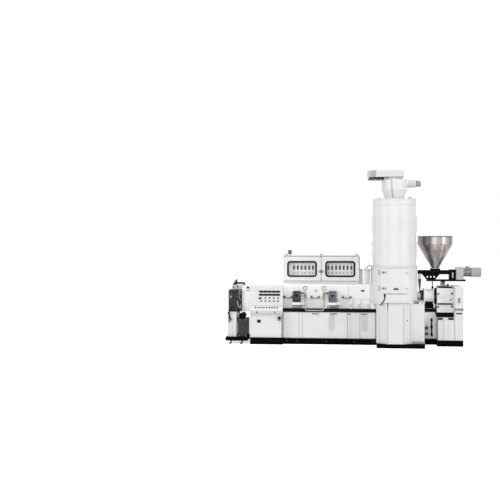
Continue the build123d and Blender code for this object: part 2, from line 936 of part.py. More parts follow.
def tower_parts():
    """Base cabinet, feeder drum with its hatch, neck, roof, cyclone and exhaust duct."""
    step_y = tower_front + tower_step_depth
    face_y = tower_front + tower_face_inset
    face_left = tower_left + tower_chamfer_left
    face_right = face_left + tower_flat_width
    plan = Polyline(
        (tower_left, rear_front),
        (tower_left, face_y + tower_chamfer_depth),
        (face_left, face_y),
        (face_right, face_y),
        (face_right + tower_chamfer_right, step_y),
        (tower_right, step_y),
        (tower_right, rear_front),
        close=True,
    )
    base = Pos(0, 0, tower_plinth_height) * extrude(make_face(plan), amount=tower_base_height)
    shelf_left = drum_x + drum_radius + tower_shelf_gap
    base += block(shelf_left, tower_right, step_y, rear_front, tower_top, tower_top + tower_shelf_height)
    drum_floor = rod_along_z(drum_radius, tower_top, tower_top + drum_floor_thickness, drum_x, drum_y)
    shell, hatch = drum_and_hatch()
    return {
        "tower_base": base,
        "drum_floor": drum_floor,
        "drum_lower": shell + guard_switch(base),
        "drum_hatch": hatch,
        "drum_upper": neck_shell(),
        "drum_roof": drum_roof(),
        **cyclone_parts(),
    }


def drum_wedge(from_deg, to_deg, radius, z0, z1):
    """A wedge about the drum's axis, its angles measured from straight in front, positive to the right."""
    start = math.radians(from_deg - 90)
    end = math.radians(to_deg - 90)
    middle = (start + end) / 2
    rim = ThreePointArc(*[(radius * math.cos(a), radius * math.sin(a)) for a in (start, middle, end)])
    sides = [Line((0, 0), rim @ 0), Line(rim @ 1, (0, 0))]
    outline = make_face([sides[0], rim, sides[1]])
    return Pos(drum_x, drum_y, z0) * extrude(outline, amount=z1 - z0)


def drum_point(degrees, radius):
    """The plan place at an angle and radius round the drum."""
    a = math.radians(degrees)
    return drum_x + radius * math.sin(a), drum_y - radius * math.cos(a)


def at_drum(degrees, radius, z):
    """Places something round the drum, its X along the wall and -Y outwards."""
    return Pos(*drum_point(degrees, radius), z) * Rot(0, 0, degrees)


def drum_and_hatch():
    """Drum shell with its hatch opening, and the hatch hung on two pins."""
    z0 = tower_top + drum_floor_thickness
    shell = rod_along_z(drum_radius, z0, drum_top, drum_x, drum_y)
    shell -= rod_along_z(drum_radius - drum_wall, z0, drum_top, drum_x, drum_y)
    low, high = z0 + hatch_bottom, z0 + hatch_bottom + hatch_height
    shell -= drum_wedge(hatch_from_deg, hatch_to_deg, drum_radius * 2, low, high)
    inner, outer = drum_radius + hatch_gap, drum_radius + hatch_gap + hatch_thickness
    from_deg, to_deg = hatch_from_deg - hatch_lap_deg, hatch_to_deg + hatch_lap_deg
    lid = drum_wedge(from_deg, to_deg, outer, low - hatch_lap, high + hatch_lap)
    lid -= rod_along_z(inner, low - hatch_lap, high + hatch_lap, drum_x, drum_y)
    axis_deg = from_deg - hatch_hinge_deg
    axis_radius = drum_radius + hatch_hinge_out
    strap_end = from_deg + hatch_strap_deg
    half = hatch_hinge_length / 2
    for height in hatch_hinge_heights:
        z = low + height
        axis = at_drum(axis_deg, axis_radius, z)
        strap = drum_wedge(axis_deg, strap_end, outer + hatch_strap_proud, z - half, z + half)
        strap -= rod_along_z(outer, z - half, z + half, drum_x, drum_y)
        lid += strap + axis * Cylinder(hatch_hinge_radius, hatch_hinge_length)
        lid -= axis * Cylinder(hatch_pin_radius + hinge_pin_play, hatch_hinge_length)
        shell += axis * Cylinder(hatch_pin_radius, hatch_hinge_length + 2 * door_gap)
        for end in (-1, 1):
            tab_z = z + end * (half + door_gap + hatch_tab_thickness / 2)
            depth = hatch_hinge_out + 1.5 * hatch_hinge_radius
            tab = Box(2 * hatch_hinge_radius, depth, hatch_tab_thickness)
            shell += at_drum(axis_deg, axis_radius, tab_z) * Pos(0, depth / 2 - hatch_hinge_radius, 0) * tab
    latch_z = low + hatch_latch_drop
    latch = Box(hatch_latch_width, hatch_latch_depth, hatch_latch_height)
    latch = at_drum(hatch_latch_deg, outer - hatch_latch_sink + hatch_latch_depth / 2, latch_z) * latch
    return shell, lid + latch


def guard_switch(base):
    """The hatch's guard switch on the drum below it, with its cable down into the base cabinet."""
    hatch_edge = tower_top + drum_floor_thickness + hatch_bottom - hatch_lap
    top = hatch_edge - guard_switch_gap
    bottom = top - guard_switch_height
    sink = drum_wall / 2
    middle = at_drum(guard_switch_deg, drum_radius + guard_switch_depth / 2 - sink, (bottom + top) / 2)
    switch = middle * Box(guard_switch_width, guard_switch_depth, guard_switch_height)
    outside = drum_radius + guard_switch_depth / 2 + guard_cable_radius / 2
    inside = drum_radius - tower_chamfer_depth / 2
    corners = [
        (*drum_point(guard_switch_deg, outside), bottom),
        (*drum_point(guard_switch_deg - 1, outside), bottom - guard_switch_height),
        (*drum_point(guard_switch_deg - 12, outside), tower_top - guard_switch_depth),
        (*drum_point(guard_switch_deg - 12, inside), tower_top - guard_switch_depth),
    ]
    return switch + hose(corners, guard_cable_radius, guard_switch_depth) - base


def neck_shell():
    """Upper drum shell on its bolting flange, with inspection covers on both sides."""
    z0 = drum_top + neck_flange_height
    shell = rod_along_z(neck_radius, z0, neck_top, drum_x, drum_y)
    shell += rod_along_z(neck_flange_radius, drum_top, z0, drum_x, drum_y)
    for side in (-1, 1):
        x = drum_x + side * (neck_radius + side_cover_proud - side_cover_depth / 2)
        for low, high in side_cover_spans:
            cover = Box(side_cover_depth, side_cover_width, high - low)
            shell += Pos(x, drum_y, z0 + (low + high) / 2) * cover
    return shell - rod_along_z(neck_radius - drum_wall, drum_top, neck_top, drum_x, drum_y)


def drum_roof():
    """Flat roof with two lifting eyes."""
    roof = rod_along_z(neck_radius + roof_overhang, neck_top, roof_top, drum_x, drum_y)
    size = (roof_eye_width, roof_eye_height, roof_eye_thickness, roof_eye_hole_radius)
    for side in (-1, 1):
        x = drum_x + side * (neck_radius - roof_eye_from_rim)
        roof += lifting_eye(x, drum_y - roof_eye_thickness / 2, roof_top, *size)
    return roof


def cyclone_parts():
    """Cyclone on the roof, its inlet spigot, and the exhaust duct that ends in a downward flange."""
    foot, radius, shoulder = cyclone_foot_radius, cyclone_radius, roof_top + cyclone_cone_height
    profile = [(0, roof_top), (foot, roof_top), (radius, shoulder), (radius, cyclone_top), (0, cyclone_top)]
    cyclone = turned(profile, drum_x, drum_y)
    sides = [(foot, roof_top), (radius, shoulder), (radius, cyclone_top)]
    inner = [(out - cyclone_seam_proud, z) for out, z in sides]
    outer = [(out + cyclone_seam_proud, z) for out, z in reversed(sides)]
    seam = make_face(Polyline(*[(0, drum_y - out, z) for out, z in inner + outer], close=True))
    cyclone += Pos(drum_x, 0, 0) * extrude(seam, amount=cyclone_seam_width / 2, both=True)
    cyclone += inlet_spigot(cyclone)
    cyclone += rod_along_z(cyclone_neck_radius, cyclone_top, duct_bottom, drum_x, drum_y)
    duct_x = drum_x - duct_left_reach + duct_half_width
    duct_top = duct_bottom + duct_height
    front, back = drum_y - duct_half_width, drum_y + duct_half_width
    duct = block(duct_x, drum_x + duct_right_reach, front, back, duct_bottom, duct_top)
    duct += rod_along_z(duct_half_width, duct_bottom, duct_top, duct_x, drum_y)
    collar_bottom = duct_bottom - outlet_collar_height
    flange_bottom = collar_bottom - outlet_flange_thickness
    duct += rod_along_z(duct_bore_radius + outlet_collar_wall, collar_bottom, duct_bottom, duct_x, drum_y)
    flange = rod_along_z(outlet_flange_radius, flange_bottom, collar_bottom, duct_x, drum_y)
    bolt = rod_along_z(outlet_bolt_radius, flange_bottom, collar_bottom, 0, 0)
    for number in range(outlet_bolt_count):
        a = 2 * math.pi * number / outlet_bolt_count
        circle = outlet_bolt_circle / 2
        flange -= Pos(duct_x + circle * math.cos(a), drum_y + circle * math.sin(a), 0) * bolt
    duct = duct + flange
    duct -= rod_along_z(duct_bore_radius, flange_bottom, duct_bottom + duct_bore_depth, duct_x, drum_y)
    return {"cyclone": cyclone, "exhaust_duct": duct}


def inlet_spigot(cyclone):
    """Tapered inlet with a hose spigot, seated on the cyclone's round wall."""
    z = cyclone_top - spigot_root_radius - spigot_below_top
    root = drum_x + cyclone_radius - spigot_root_sink
    cone_end = drum_x + cyclone_radius + spigot_cone_reach
    pipe_end = cone_end + spigot_pipe_length
    outline = Polyline(
        (root, spigot_bore_radius),
        (root, spigot_root_radius),
        (cone_end, spigot_end_radius),
        (cone_end, spigot_pipe_radius),
        (pipe_end, spigot_pipe_radius),
        (pipe_end, spigot_bore_radius),
        close=True,
    )
    spigot = Pos(0, drum_y, z) * revolve(make_face(outline), Axis.X)
    return spigot - cyclone


def feed_section():
    """Water-cooled feed section of the barrel between its two square flanges."""
    section = rod_along_x(feed_radius, feed_left, feed_right, 0, barrel_z)
    half = feed_flange_half
    low, high = barrel_z - half, barrel_z + half
    section += block(feed_left, feed_left + feed_flange_length, -half, half, low, high)
    return section + block(feed_right - feed_flange_length, feed_right, -half, half, low, high)


def drive_parts():
    """Barrel, feed section, gearbox and the housings of the drive."""
    barrel = rod_along_x(barrel_radius, hood_right, barrel_right, 0, barrel_z)
    barrel += rod_along_x(barrel_flange_radius, barrel_right, feed_left, 0, barrel_z)
    left, right = drum_x - throat_half_length, drum_x + throat_half_length
    low, high = barrel_z - throat_half_height, barrel_z + throat_half_height
    throat = block(left, right, -barrel_radius - throat_reach, 0, low, high)
    throat -= rod_along_x(barrel_radius, left, right, 0, barrel_z)
    throat -= rod_along_z(drum_radius, low, high, drum_x, drum_y)
    throat = throat.solids().sort_by(Axis.Y)[0]
    flange_left = gearbox_left - lantern_flange_length
    lantern = rod_along_x(lantern_radius, feed_right, flange_left, 0, barrel_z)
    lantern += rod_along_x(lantern_flange_radius, flange_left, gearbox_left, 0, barrel_z)
    sides = (drive_left, drive_base_right)
    pedestal = block(*sides, pedestal_front, pedestal_back, drive_base_top, gearbox_bottom)
    base = block(*sides, drive_front, bench_back, plinth_height, drive_base_top)
    return {
        "extruder_barrel": barrel + throat,
        "feed_housing": feed_section() + lantern,
        "gearbox": gearbox(),
        "drive_base": base + pedestal,
        "drive_column": drive_column(),
    }


def drive_column():
    """Belt and motor housing of the drive, with two lift-off covers and a grip on the upper one."""
    top = plinth_height + column_height
    column = block(drive_base_right, column_right, drive_front, column_back, plinth_height, top)
    column = fillet(column.edges().filter_by(Axis.Y).group_by(Axis.Z)[-1], column_edge_radius)
    face = drive_front - drive_cover_thickness
    left, right = drive_base_right + drive_cover_margin, column_right - drive_cover_margin
    upper_top = top - 2 * drive_cover_margin
    upper_bottom = upper_top - drive_cover_height
    column += block(left, right, face, drive_front, upper_bottom, upper_top)
    low = plinth_height + drive_cover_margin
    column += block(left, right, face, drive_front, low, upper_bottom - drive_cover_gap)
    x, z = (left + right) / 2, (upper_bottom + upper_top) / 2 - grip_below_middle
    half = grip_length / 2
    left, right = x - grip_bar / 2, x + grip_bar / 2
    front = face - grip_reach
    column += block(left, right, front, face, z - half, z + half)
    return column - block(left, right, front + grip_bar, face, z - half + grip_bar, z + half - grip_bar)


def gearbox():
    """Cast gearbox: rounded casing on a square foot, with a split flange and a cap."""
    right = drive_base_right
    x, z = (gearbox_left + right) / 2, (gearbox_bottom + gearbox_top) / 2
    width, height = right - gearbox_left, gearbox_top - gearbox_bottom
    casing = front_plate(width, height, gearbox_corner, x, z, gearbox_front, gearbox_back)
    split = barrel_z - gearbox_split_drop
    front, back = gearbox_front - gearbox_split_proud, gearbox_back + gearbox_split_proud
    half = gearbox_split_height / 2
    casing += block(gearbox_left, right, front, back, split - half, split + half)
    foot_top = gearbox_bottom + gearbox_corner
    casing += block(gearbox_left, right, gearbox_front, gearbox_back, gearbox_bottom, foot_top)
    front, back = gearbox_front + gearbox_cap_inset, gearbox_back - gearbox_cap_inset
    left, right = gearbox_left + gearbox_corner, right - gearbox_corner
    return casing + block(left, right, front, back, gearbox_top, cap_top)


def feeder_outer(x0, x1):
    """The outside of the side feeder's tube, between two stations."""
    return rod_along_x(feeder_tube_radius, x0, x1, 0, feeder_z)


def side_feeder_parts():
    """Hopper, conveying tube and screw, saddle, and the geared motor, on a plate above the gearbox."""
    inlet_top = feeder_z + inlet_top_above_axis
    left, right = hopper_x - inlet_half_width, hopper_x + inlet_half_width
    tube = feeder_outer(feeder_tube_left, feeder_tube_right)
    tube += block(left, right, -inlet_half_depth, inlet_half_depth, feeder_z, inlet_top)
    bore_radius = feeder_tube_radius - feeder_tube_wall
    tube -= rod_along_x(bore_radius, feeder_tube_left + feeder_tube_end, feeder_tube_right, 0, feeder_z)
    tube -= rod_along_z(feeder_mouth_radius, feeder_z, inlet_top, hopper_x, 0)
    tube -= rod_along_z(feeder_mouth_radius, feeder_z - feeder_tube_radius, feeder_z, spout_x, 0)
    return {
        "feeder_frame": feeder_frame(),
        "feeder_tube": tube,
        "feeder_screw": feeder_screw(),
        "feed_hopper": feed_hopper(inlet_top),
        "feeder_spout": feeder_spout(),
        "feeder_drive": feeder_drive(),
    }


def feeder_frame():
    """Base plate, the eyed leg and the rod that carry it, and the tube's boat-shaped saddle."""
    left, right = hopper_x - plate_left_of_hopper, reducer_right + plate_past_reducer
    frame = block(left, right, -plate_half_width, plate_half_width, plate_bottom, plate_top)
    x = (gearbox_left + drive_base_right) / 2 - leg_left_of_middle
    leg = [
        (x - leg_width / 2, cap_top),
        (x + leg_width / 2, cap_top),
        (x + leg_top_width / 2, plate_bottom),
        (x - leg_top_width / 2, plate_bottom),
    ]
    frame += front_outline(leg, -leg_half_depth, leg_half_depth)
    frame -= rod_along_y(leg_eye_radius, -leg_half_depth, leg_half_depth, x, (cap_top + plate_bottom) / 2)
    rod = rod_along_z(rod_radius, barrel_z, plate_bottom, feed_right - rod_from_feed_right, 0)
    return frame + (rod - feed_section()) + feeder_saddle()


def feeder_saddle():
    """Boat-shaped saddle under the tube with three lightening holes."""
    half_top, half_bottom = saddle_top_width / 2, saddle_bottom_width / 2
    x = hopper_x - saddle_from_hopper
    top = feeder_z - feeder_tube_radius + saddle_seat
    half = saddle_thickness / 2
    right_side = [(x + half_bottom, plate_top), (x + half_top, top)]
    left_side = [(x - half_top, top), (x - half_bottom, plate_top)]
    saddle = front_outline(right_side + left_side, -half, half)
    hole_z = (plate_top + feeder_z - feeder_tube_radius) / 2
    for number in (-1, 0, 1):
        saddle -= rod_along_y(saddle_hole_radius, -half, half, x + number * saddle_hole_pitch, hole_z)
    return saddle - feeder_outer(x - saddle_top_width, x + saddle_top_width)


def feeder_screw():
    """Conveying screw: a shaft into the drive, with one helical flight from the spout to past the mouth."""
    start = feeder_tube_left + feeder_tube_end + screw_end_gap
    flight_end = hopper_x + feeder_mouth_radius + screw_past_mouth
    shaft = rod_along_x(screw_core_radius, start, feeder_tube_right, 0, feeder_z)
    length = flight_end - start - 2 * screw_flight_thickness
    path = Helix(pitch=screw_pitch, height=length, radius=screw_core_radius)
    root = screw_flight_thickness / 4
    depth = screw_flight_radius - screw_core_radius
    section = Pos(depth / 2 - root / 2, 0) * Rectangle(depth + root, screw_flight_thickness)
    section = Plane(origin=path @ 0, x_dir=(1, 0, 0), z_dir=path % 0) * section
    flight = sweep(section, path=path, is_frenet=True)
    return shaft + Pos(start + screw_flight_thickness, 0, feeder_z) * Rot(0, 90, 0) * flight


def feed_hopper(inlet_top):
    """Sheet-steel hopper: foot, cone and upright rim, open at both ends."""
    foot_top = inlet_top + hopper_foot_height
    cone_top = foot_top + hopper_cone_height
    rim_top = cone_top + hopper_rim_height
    outline = [
        (hopper_neck_radius, foot_top),
        (hopper_radius, cone_top),
        (hopper_radius, rim_top),
        (hopper_radius - hopper_wall, rim_top),
        (hopper_radius - hopper_wall, cone_top),
        (hopper_neck_radius - hopper_wall, foot_top),
    ]
    half = hopper_foot_half
    foot = block(hopper_x - half, hopper_x + half, -half, half, inlet_top, foot_top)
    foot -= rod_along_z(feeder_mouth_radius, inlet_top, foot_top, hopper_x, 0)
    return turned(outline, hopper_x, 0) + foot


def feeder_spout():
    """Outlet sleeve and cone that drop the material into the barrel."""
    sleeve_bottom = feeder_z - feeder_tube_radius - spout_sleeve_length
    cap_bottom = sleeve_bottom - spout_cap_height
    profile = [
        (0, barrel_z),
        (spout_end_radius, barrel_z),
        (spout_end_radius, cap_bottom - spout_cone_height),
        (spout_cap_radius, cap_bottom),
        (spout_cap_radius, sleeve_bottom),
        (spout_sleeve_radius, sleeve_bottom),
        (spout_sleeve_radius, feeder_z),
        (0, feeder_z),
    ]
    left, right = spout_x - tube_past_spout, spout_x + tube_past_spout
    spout = turned(profile, spout_x, 0) - feeder_outer(left, right)
    return spout - rod_along_x(barrel_radius, left, right, 0, barrel_z)


def feeder_drive():
    """Coupling housing, worm reducer and finned motor with its cowl, at the right end of the feeder."""
    half = coupling_half_depth
    coupling_top = feeder_z + coupling_above_axis
    drive = block(feeder_tube_right, coupling_right, -half, half, plate_top, coupling_top)
    half = reducer_half_depth
    reducer_top = feeder_z + reducer_above_axis
    x, z = (coupling_right + reducer_right) / 2, (plate_top + reducer_top) / 2
    drive += front_plate(reducer_length, reducer_top - plate_top, reducer_corner, x, z, -half, half)
    drive += block(coupling_right, reducer_right, -half, half, plate_top, plate_top + reducer_corner)
    body_left = reducer_right + motor_flange_length
    body_right = body_left + motor_body_length
    drive += rod_along_x(motor_flange_radius, reducer_right, body_left, 0, feeder_z)
    drive += rod_along_x(motor_body_radius, body_left, body_right, 0, feeder_z)
    fin = Pos(0, 0, motor_body_radius) * Box(motor_body_length, motor_fin_width, 2 * motor_fin_height)
    middle = (body_left + body_right) / 2
    for number in range(motor_fin_count):
        turn = 360 * (number + 0.5) / motor_fin_count
        drive += Pos(middle, 0, feeder_z) * Rot(turn, 0, 0) * fin
    half = motor_box_width / 2
    box_top = feeder_z + motor_body_radius + motor_box_height
    drive += block(middle - half, middle + half, -half, half, feeder_z + half, box_top)
    return drive + rod_along_x(motor_cowl_radius, body_right, body_right + motor_cowl_length, 0, feeder_z)


def changer_parts():
    """Screen changer at the melt outlet, its terminal box and conduit, and the stand that carries it."""
    box_left = changer_right - terminal_box_width
    box_top = changer_top + terminal_box_height
    half = terminal_half_depth
    terminals = block(box_left, changer_right, -half, half, changer_top, box_top)
    rise = box_top + conduit_rise
    hood_level = bed_top + die_hood_height
    left, right = box_left + conduit_inset, changer_right + conduit_past_box
    route = [(left, 0, box_top), (left, 0, rise), (right, 0, rise), (right, 0, hood_level)]
    conduit = hose(route, conduit_radius, conduit_bend)
    lug_left, lug_right = box_left + lug_inset, box_left + lug_inset + lug_width
    lug = [(lug_left, box_top), (lug_right, box_top), (lug_right, box_top + lug_height)]
    lug = front_outline(lug, lug_front - lug_thickness, lug_front)
    return {
        "screen_changer": screen_changer(),
        "changer_terminals": terminals + conduit + lug,
        **stand_parts(),
    }


def screen_changer():
    """Heated block with bevelled edges, a front cover split by the screen slide, and the melt outlet."""
    body = block(changer_left, changer_right, changer_front, changer_back, changer_bottom, changer_top)
    body = chamfer(body.edges().filter_by(Axis.Z).group_by(Axis.Y)[0], changer_chamfer)
    left, right = changer_left + changer_cover_inset, changer_right - changer_cover_inset
    low, high = changer_bottom + changer_cover_inset, changer_top - changer_cover_inset
    cover_front = changer_front - changer_cover_proud
    slot_half = slide_half_height + slide_clearance
    body += block(left, right, cover_front, changer_front, barrel_z + slot_half, high)
    body += block(left, right, cover_front, changer_front, low, barrel_z - slot_half)
    x = (changer_left + changer_right) / 2
    left, right = x - slide_half_width, x + slide_half_width
    slide_front = changer_front - slide_proud
    half = slide_half_height
    body += block(left, right, slide_front, changer_front, barrel_z - half, barrel_z + half)
    body -= rod_along_x(outlet_bore_radius, changer_left, changer_left + outlet_bore_length, 0, barrel_z)
    for number in range(outlet_bolts_count):
        a = 2 * math.pi * (number + 0.5) / outlet_bolts_count
        y = outlet_bolts_circle / 2 * math.cos(a)
        z = barrel_z + outlet_bolts_circle / 2 * math.sin(a)
        body -= rod_along_x(outlet_bolts_radius, changer_left, changer_left + outlet_bolts_depth, y, z)
    return body


def stand_parts():
    """Stand: base plate on levelling feet, hydraulic pillar, and the oil tank with pump and hoses."""
    right = stand_left + stand_width
    plate = block(stand_left, right, stand_front, stand_back, stand_foot_height, stand_plate_top)
    half = stand_leg_width / 2
    for x in (stand_left + stand_foot_insets[0], right - stand_foot_insets[1]):
        for y in (stand_front + stand_foot_depth, stand_back - stand_foot_depth):
            plate += hexagon_along_z(stand_foot_radius, 0, stand_foot_thickness, x, y)
            leg = [
                (x - half, stand_foot_thickness),
                (x + half, stand_foot_thickness),
                (x + half + stand_leg_lean, stand_foot_height),
                (x - half + stand_leg_lean, stand_foot_height),
            ]
            plate += front_outline(leg, y - half, y + half)
    left, right = changer_left + pillar_inset, changer_left + pillar_inset + pillar_width
    pillar = block(left, right, pillar_front, pillar_back, stand_plate_top, changer_bottom)
    return {"stand_plate": plate, "hydraulic_pillar": pillar, "oil_tank": oil_tank(right)}


def oil_tank(pillar_right):
    """Oil tank with its pump, and the two hoses that feed the screen changer's slide."""
    left = pillar_right + tank_gap
    top = stand_plate_top + tank_height
    tank = block(left, left + tank_width, pillar_front, pillar_back, stand_plate_top, top)
    x = left + tank_width / 2
    pump_front, pump_back = pillar_front + pump_front_inset, pillar_back - pump_back_inset
    pump_z = top + pump_radius
    tank += rod_along_y(pump_radius, pump_front, pump_back, x, pump_z)
    foot_front, foot_back = pump_front + pump_foot_inset, pump_back - pump_foot_inset
    tank += block(x - pump_foot, x + pump_foot, foot_front, foot_back, top, top + pump_foot)
    start, out = changer_front - changer_cover_proud, pillar_front - hose_reach
    high, low = changer_bottom + hose_rise, changer_bottom - hose_fall
    port = changer_left + hose_inset
    first = [(port, start, high), (port, out, high), (port, out, low), (port, pillar_front, low)]
    port = changer_right - hose_inset
    second = [(port, start, high), (port, out, high), (x, out, pump_z), (x, pump_front, pump_z)]
    return Compound([tank, hose(first, hose_radius, hose_bend), hose(second, hose_radius, hose_bend)])


def water_parts():
    """Cooling-water riser with its valves, and two valve boxes, on the front of the rear housing."""
    x = drive_left - riser_from_drive
    y = rear_front - riser_radius - riser_gap
    riser = hexagon_along_z(riser_radius, plinth_height + riser_bottom, plinth_height + riser_top, x, y)
    half = riser_valve_size / 2
    for height in riser_valve_heights:
        low = plinth_height + height - riser_valve_height / 2
        riser += block(x - half, x + half, y - half, rear_front, low, low + riser_valve_height)
    parts = [riser]
    left = x - valve_box_from_riser
    for height in valve_box_heights:
        low = plinth_height + height - valve_box_height / 2
        front = rear_front - valve_box_depth
        parts.append(block(left, left + valve_box_width, front, rear_front, low, low + valve_box_height))
    return {"water_valves": Compound(parts)}


def build():
    parts = {}
    for group in (base_parts, hood_parts, vacuum_parts, hood_handles, cabinet_parts, console_parts):
        parts.update(group())
    for group in (tower_parts, drive_parts, side_feeder_parts, changer_parts, water_parts):
        parts.update(group())
    return parts


os.makedirs("parts", exist_ok=True)
for name, shape in build().items():
    export_step(shape, f"parts/{name}.step")
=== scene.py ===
import json
import math

import bmesh
import bpy
from mathutils import Matrix, Vector


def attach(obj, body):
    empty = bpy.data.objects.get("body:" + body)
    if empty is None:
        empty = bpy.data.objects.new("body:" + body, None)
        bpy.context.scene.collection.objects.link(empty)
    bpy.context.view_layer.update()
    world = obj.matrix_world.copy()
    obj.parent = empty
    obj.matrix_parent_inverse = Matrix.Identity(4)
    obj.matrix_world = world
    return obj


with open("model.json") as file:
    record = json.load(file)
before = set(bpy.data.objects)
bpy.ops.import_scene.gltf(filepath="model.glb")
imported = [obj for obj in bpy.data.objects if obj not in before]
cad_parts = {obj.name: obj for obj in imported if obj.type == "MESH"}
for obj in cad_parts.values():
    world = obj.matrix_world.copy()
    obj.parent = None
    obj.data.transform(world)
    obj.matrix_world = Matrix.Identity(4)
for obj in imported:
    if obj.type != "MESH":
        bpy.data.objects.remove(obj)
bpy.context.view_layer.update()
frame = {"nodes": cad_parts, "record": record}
NODES = frame["nodes"]

# Camera: its place in metres, and its turn from the sight line's shift and the lens, both in pixels
CAMERA_PLACE = (0.0, -20.45, 2.12)
SIGHT_SHIFT = 105
LENS_PIXELS = 888.9
CAMERA_TURN = math.atan(SIGHT_SHIFT / LENS_PIXELS)
CAMERA_LENS = 64.0
SENSOR_WIDTH = 36.0
SIGHT_END = 1000.0

# Light levels, and the floor's tones and reach
SKY_STRENGTH = 0.45
FLOOR_GLOW = 0.67
FLOOR_TONE = (0.62, 0.62, 0.62, 1.0)
SEEN_TONE = (0.9, 0.9, 0.9, 1.0)
FLOOR_REACH = 200.0
PURE_WHITE = (1.0, 1.0, 1.0, 1.0)

# Lamps: name, place and aim in metres, width, height and power
LAMPS = (
    ("key_left", (-8.5, -6.5, 4.2), (0.0, 0.0, 1.6), 5.0, 7.0, 370.0),
    ("key_right", (9.0, -6.0, 4.0), (0.8, 0.0, 1.6), 5.0, 7.0, 380.0),
    ("front", (-0.5, -12.0, 4.5), (0.0, 0.0, 1.4), 6.0, 3.0, 340.0),
    ("top", (0.0, -1.0, 9.0), (0.0, 0.0, 1.0), 9.0, 5.0, 225.0),
)

# Surfaces: spread of roughness, grain, shade in corners and wear on edges
MOTTLE_RANGE = (0.35, 0.65)
SHADE_RANGE = (0.25, 0.8)
COAT_SPREAD = 0.06
COAT_SHADE = 0.05
GRAIN_SCALE = 420.0
GRAIN_STRENGTH = 0.6
METAL_SPREAD = 0.08
METAL_SHADE = 0.03
METAL_DARKEST = 0.5
METAL_EDGE = 0.002
METAL_GRAIN = 0.0003
METAL_STRENGTH = 0.35
EDGE_RANGE = (0.82, 0.995)
EDGE_WEAR = 1.1

# Colour sockets of a mixing node, which are told apart by number
MIX_FIRST = 6
MIX_SECOND = 7
MIX_RESULT = 2

# Pieces are written in the part's frame in millimetres, and become metres at the end
MM = 0.001
SMOOTH_BELOW = math.radians(35)
CORNER_STEPS = 8
BEAD_SIDES = 10

# Stations of the part that the pieces sit on, in millimetres
BENCH_FRONT = -450
BED_FRONT = -460
HOOD_FRONT = -330
HOOD_FOOT_Y = -295
HANDLE_FRONT = -347
HANDLE_X = (-1510, -895, -185)
THROAT_FRONT = -440
THROAT_TOP_FRONT = -318
VENT_FRONT = -500
VENT_X = (-1306, -499)
SIGHT_Z = 1092
VALVE_X = (-1110, -695)
VALVE_Z = 1128
GAUGE_Z = 1266
GAUGE_FOOT_Z = 1220
GAUGE_FRONT = -493
VACUUM_ARM = (-470, 1151)
DOOR_FRONT = 200
PANEL_FACE = 330
CONTROLLER_Y = (316.5, 318.5)
POT_Y = 340
DESK_FACE = -480
CONSOLE_DOOR_Y = -612
LIP_FRONT = -625
DRUM = (862, -625)
DRUM_RADIUS = 497
NECK_RADIUS = 467
SPIGOT_Z = 3571
EXHAUST = (472, -625)
DUCT_MOUTH_Z = 3719
HOPPER = (1797, 0)
FEEDER_Z = 1619
BARREL_Z = 1080
GEARBOX_FRONT = -300
GEARBOX_TOP = 1300
DRIVE_FRONT = -592
SERVICE_FRONT = -204
LEG_X = 1968.5
LEG_EYE_Z = 1359
DIE_HOOD_FRONT = -195
CHANGER_FRONT = -276
TERMINAL_FRONT = -90
LUG_FRONT = 40
STAND_FRONT = -450

FRONT = (0, -1, 0)
UP = (0, 0, 1)
DOWN = (0, 0, -1)
LEFT = (-1, 0, 0)
RIGHT = (1, 0, 0)


# Material helpers

def new_material(name):
    """A material with its node tree and its main shader."""
    material = bpy.data.materials.new(name)
    material.use_nodes = True
    tree = material.node_tree
    return material, tree, tree.nodes["Principled BSDF"]


def fill(tree, node, inputs):
    """Links or sets a node's sockets."""
    for key, value in inputs.items():
        if isinstance(value, bpy.types.NodeSocket):
            tree.links.new(value, node.inputs[key])
        else:
            node.inputs[key].default_value = value


def add_node(tree, kind, inputs=None, **settings):
    """Adds a shader node, sets it and fills its sockets."""
    node = tree.nodes.new(kind)
    for key, value in settings.items():
        setattr(node, key, value)
    fill(tree, node, inputs or {})
    return node


def mix_colors(tree, factor, first, second, blend="MIX"):
    """Blends two colours, each a socket or a value."""
    inputs = {"Factor": factor, MIX_FIRST: first, MIX_SECOND: second}
    return add_node(tree, "ShaderNodeMix", inputs, data_type="RGBA", blend_type=blend).outputs[MIX_RESULT]


def object_coordinates(tree, stretch=(1.0, 1.0, 1.0)):
    """Coordinates in metres, stretched along each axis."""
    place = add_node(tree, "ShaderNodeTexCoord")
    mapping = add_node(tree, "ShaderNodeMapping", {"Vector": place.outputs["Object"], "Scale": stretch})
    return mapping.outputs["Vector"]


def mottle(tree, vector, scale, low, high, detail=3.0):
    """A noise mixed between two colours."""
    noise = add_node(tree, "ShaderNodeTexNoise", {"Vector": vector, "Scale": scale, "Detail": detail})
    ramp = add_node(tree, "ShaderNodeValToRGB", {"Fac": noise.outputs["Fac"]})
    for stop, position, color in zip(ramp.color_ramp.elements, MOTTLE_RANGE, (low, high)):
        stop.position = position
        stop.color = (*color, 1.0)
    return noise.outputs["Fac"], ramp.outputs["Color"]


def vary(tree, source, low, high, from_low=0.0, from_high=1.0):
    """Maps a value from one range onto another."""
    sizes = {"Value": source, "From Min": from_low, "From Max": from_high, "To Min": low, "To Max": high}
    return add_node(tree, "ShaderNodeMapRange", sizes).outputs["Result"]


def shaded_corners(tree, color, distance, darkest):
    """Darkens a colour in narrow corners."""
    open_share = add_node(tree, "ShaderNodeAmbientOcclusion", {"Distance": distance}, samples=6)
    shade = vary(tree, open_share.outputs["AO"], darkest, 1.0, *SHADE_RANGE)
    return mix_colors(tree, 1.0, color, shade, "MULTIPLY")


def soft_edges(tree, radius):
    """A normal that rounds sharp edges by a radius in metres."""
    return add_node(tree, "ShaderNodeBevel", {"Radius": radius}, samples=4).outputs["Normal"]


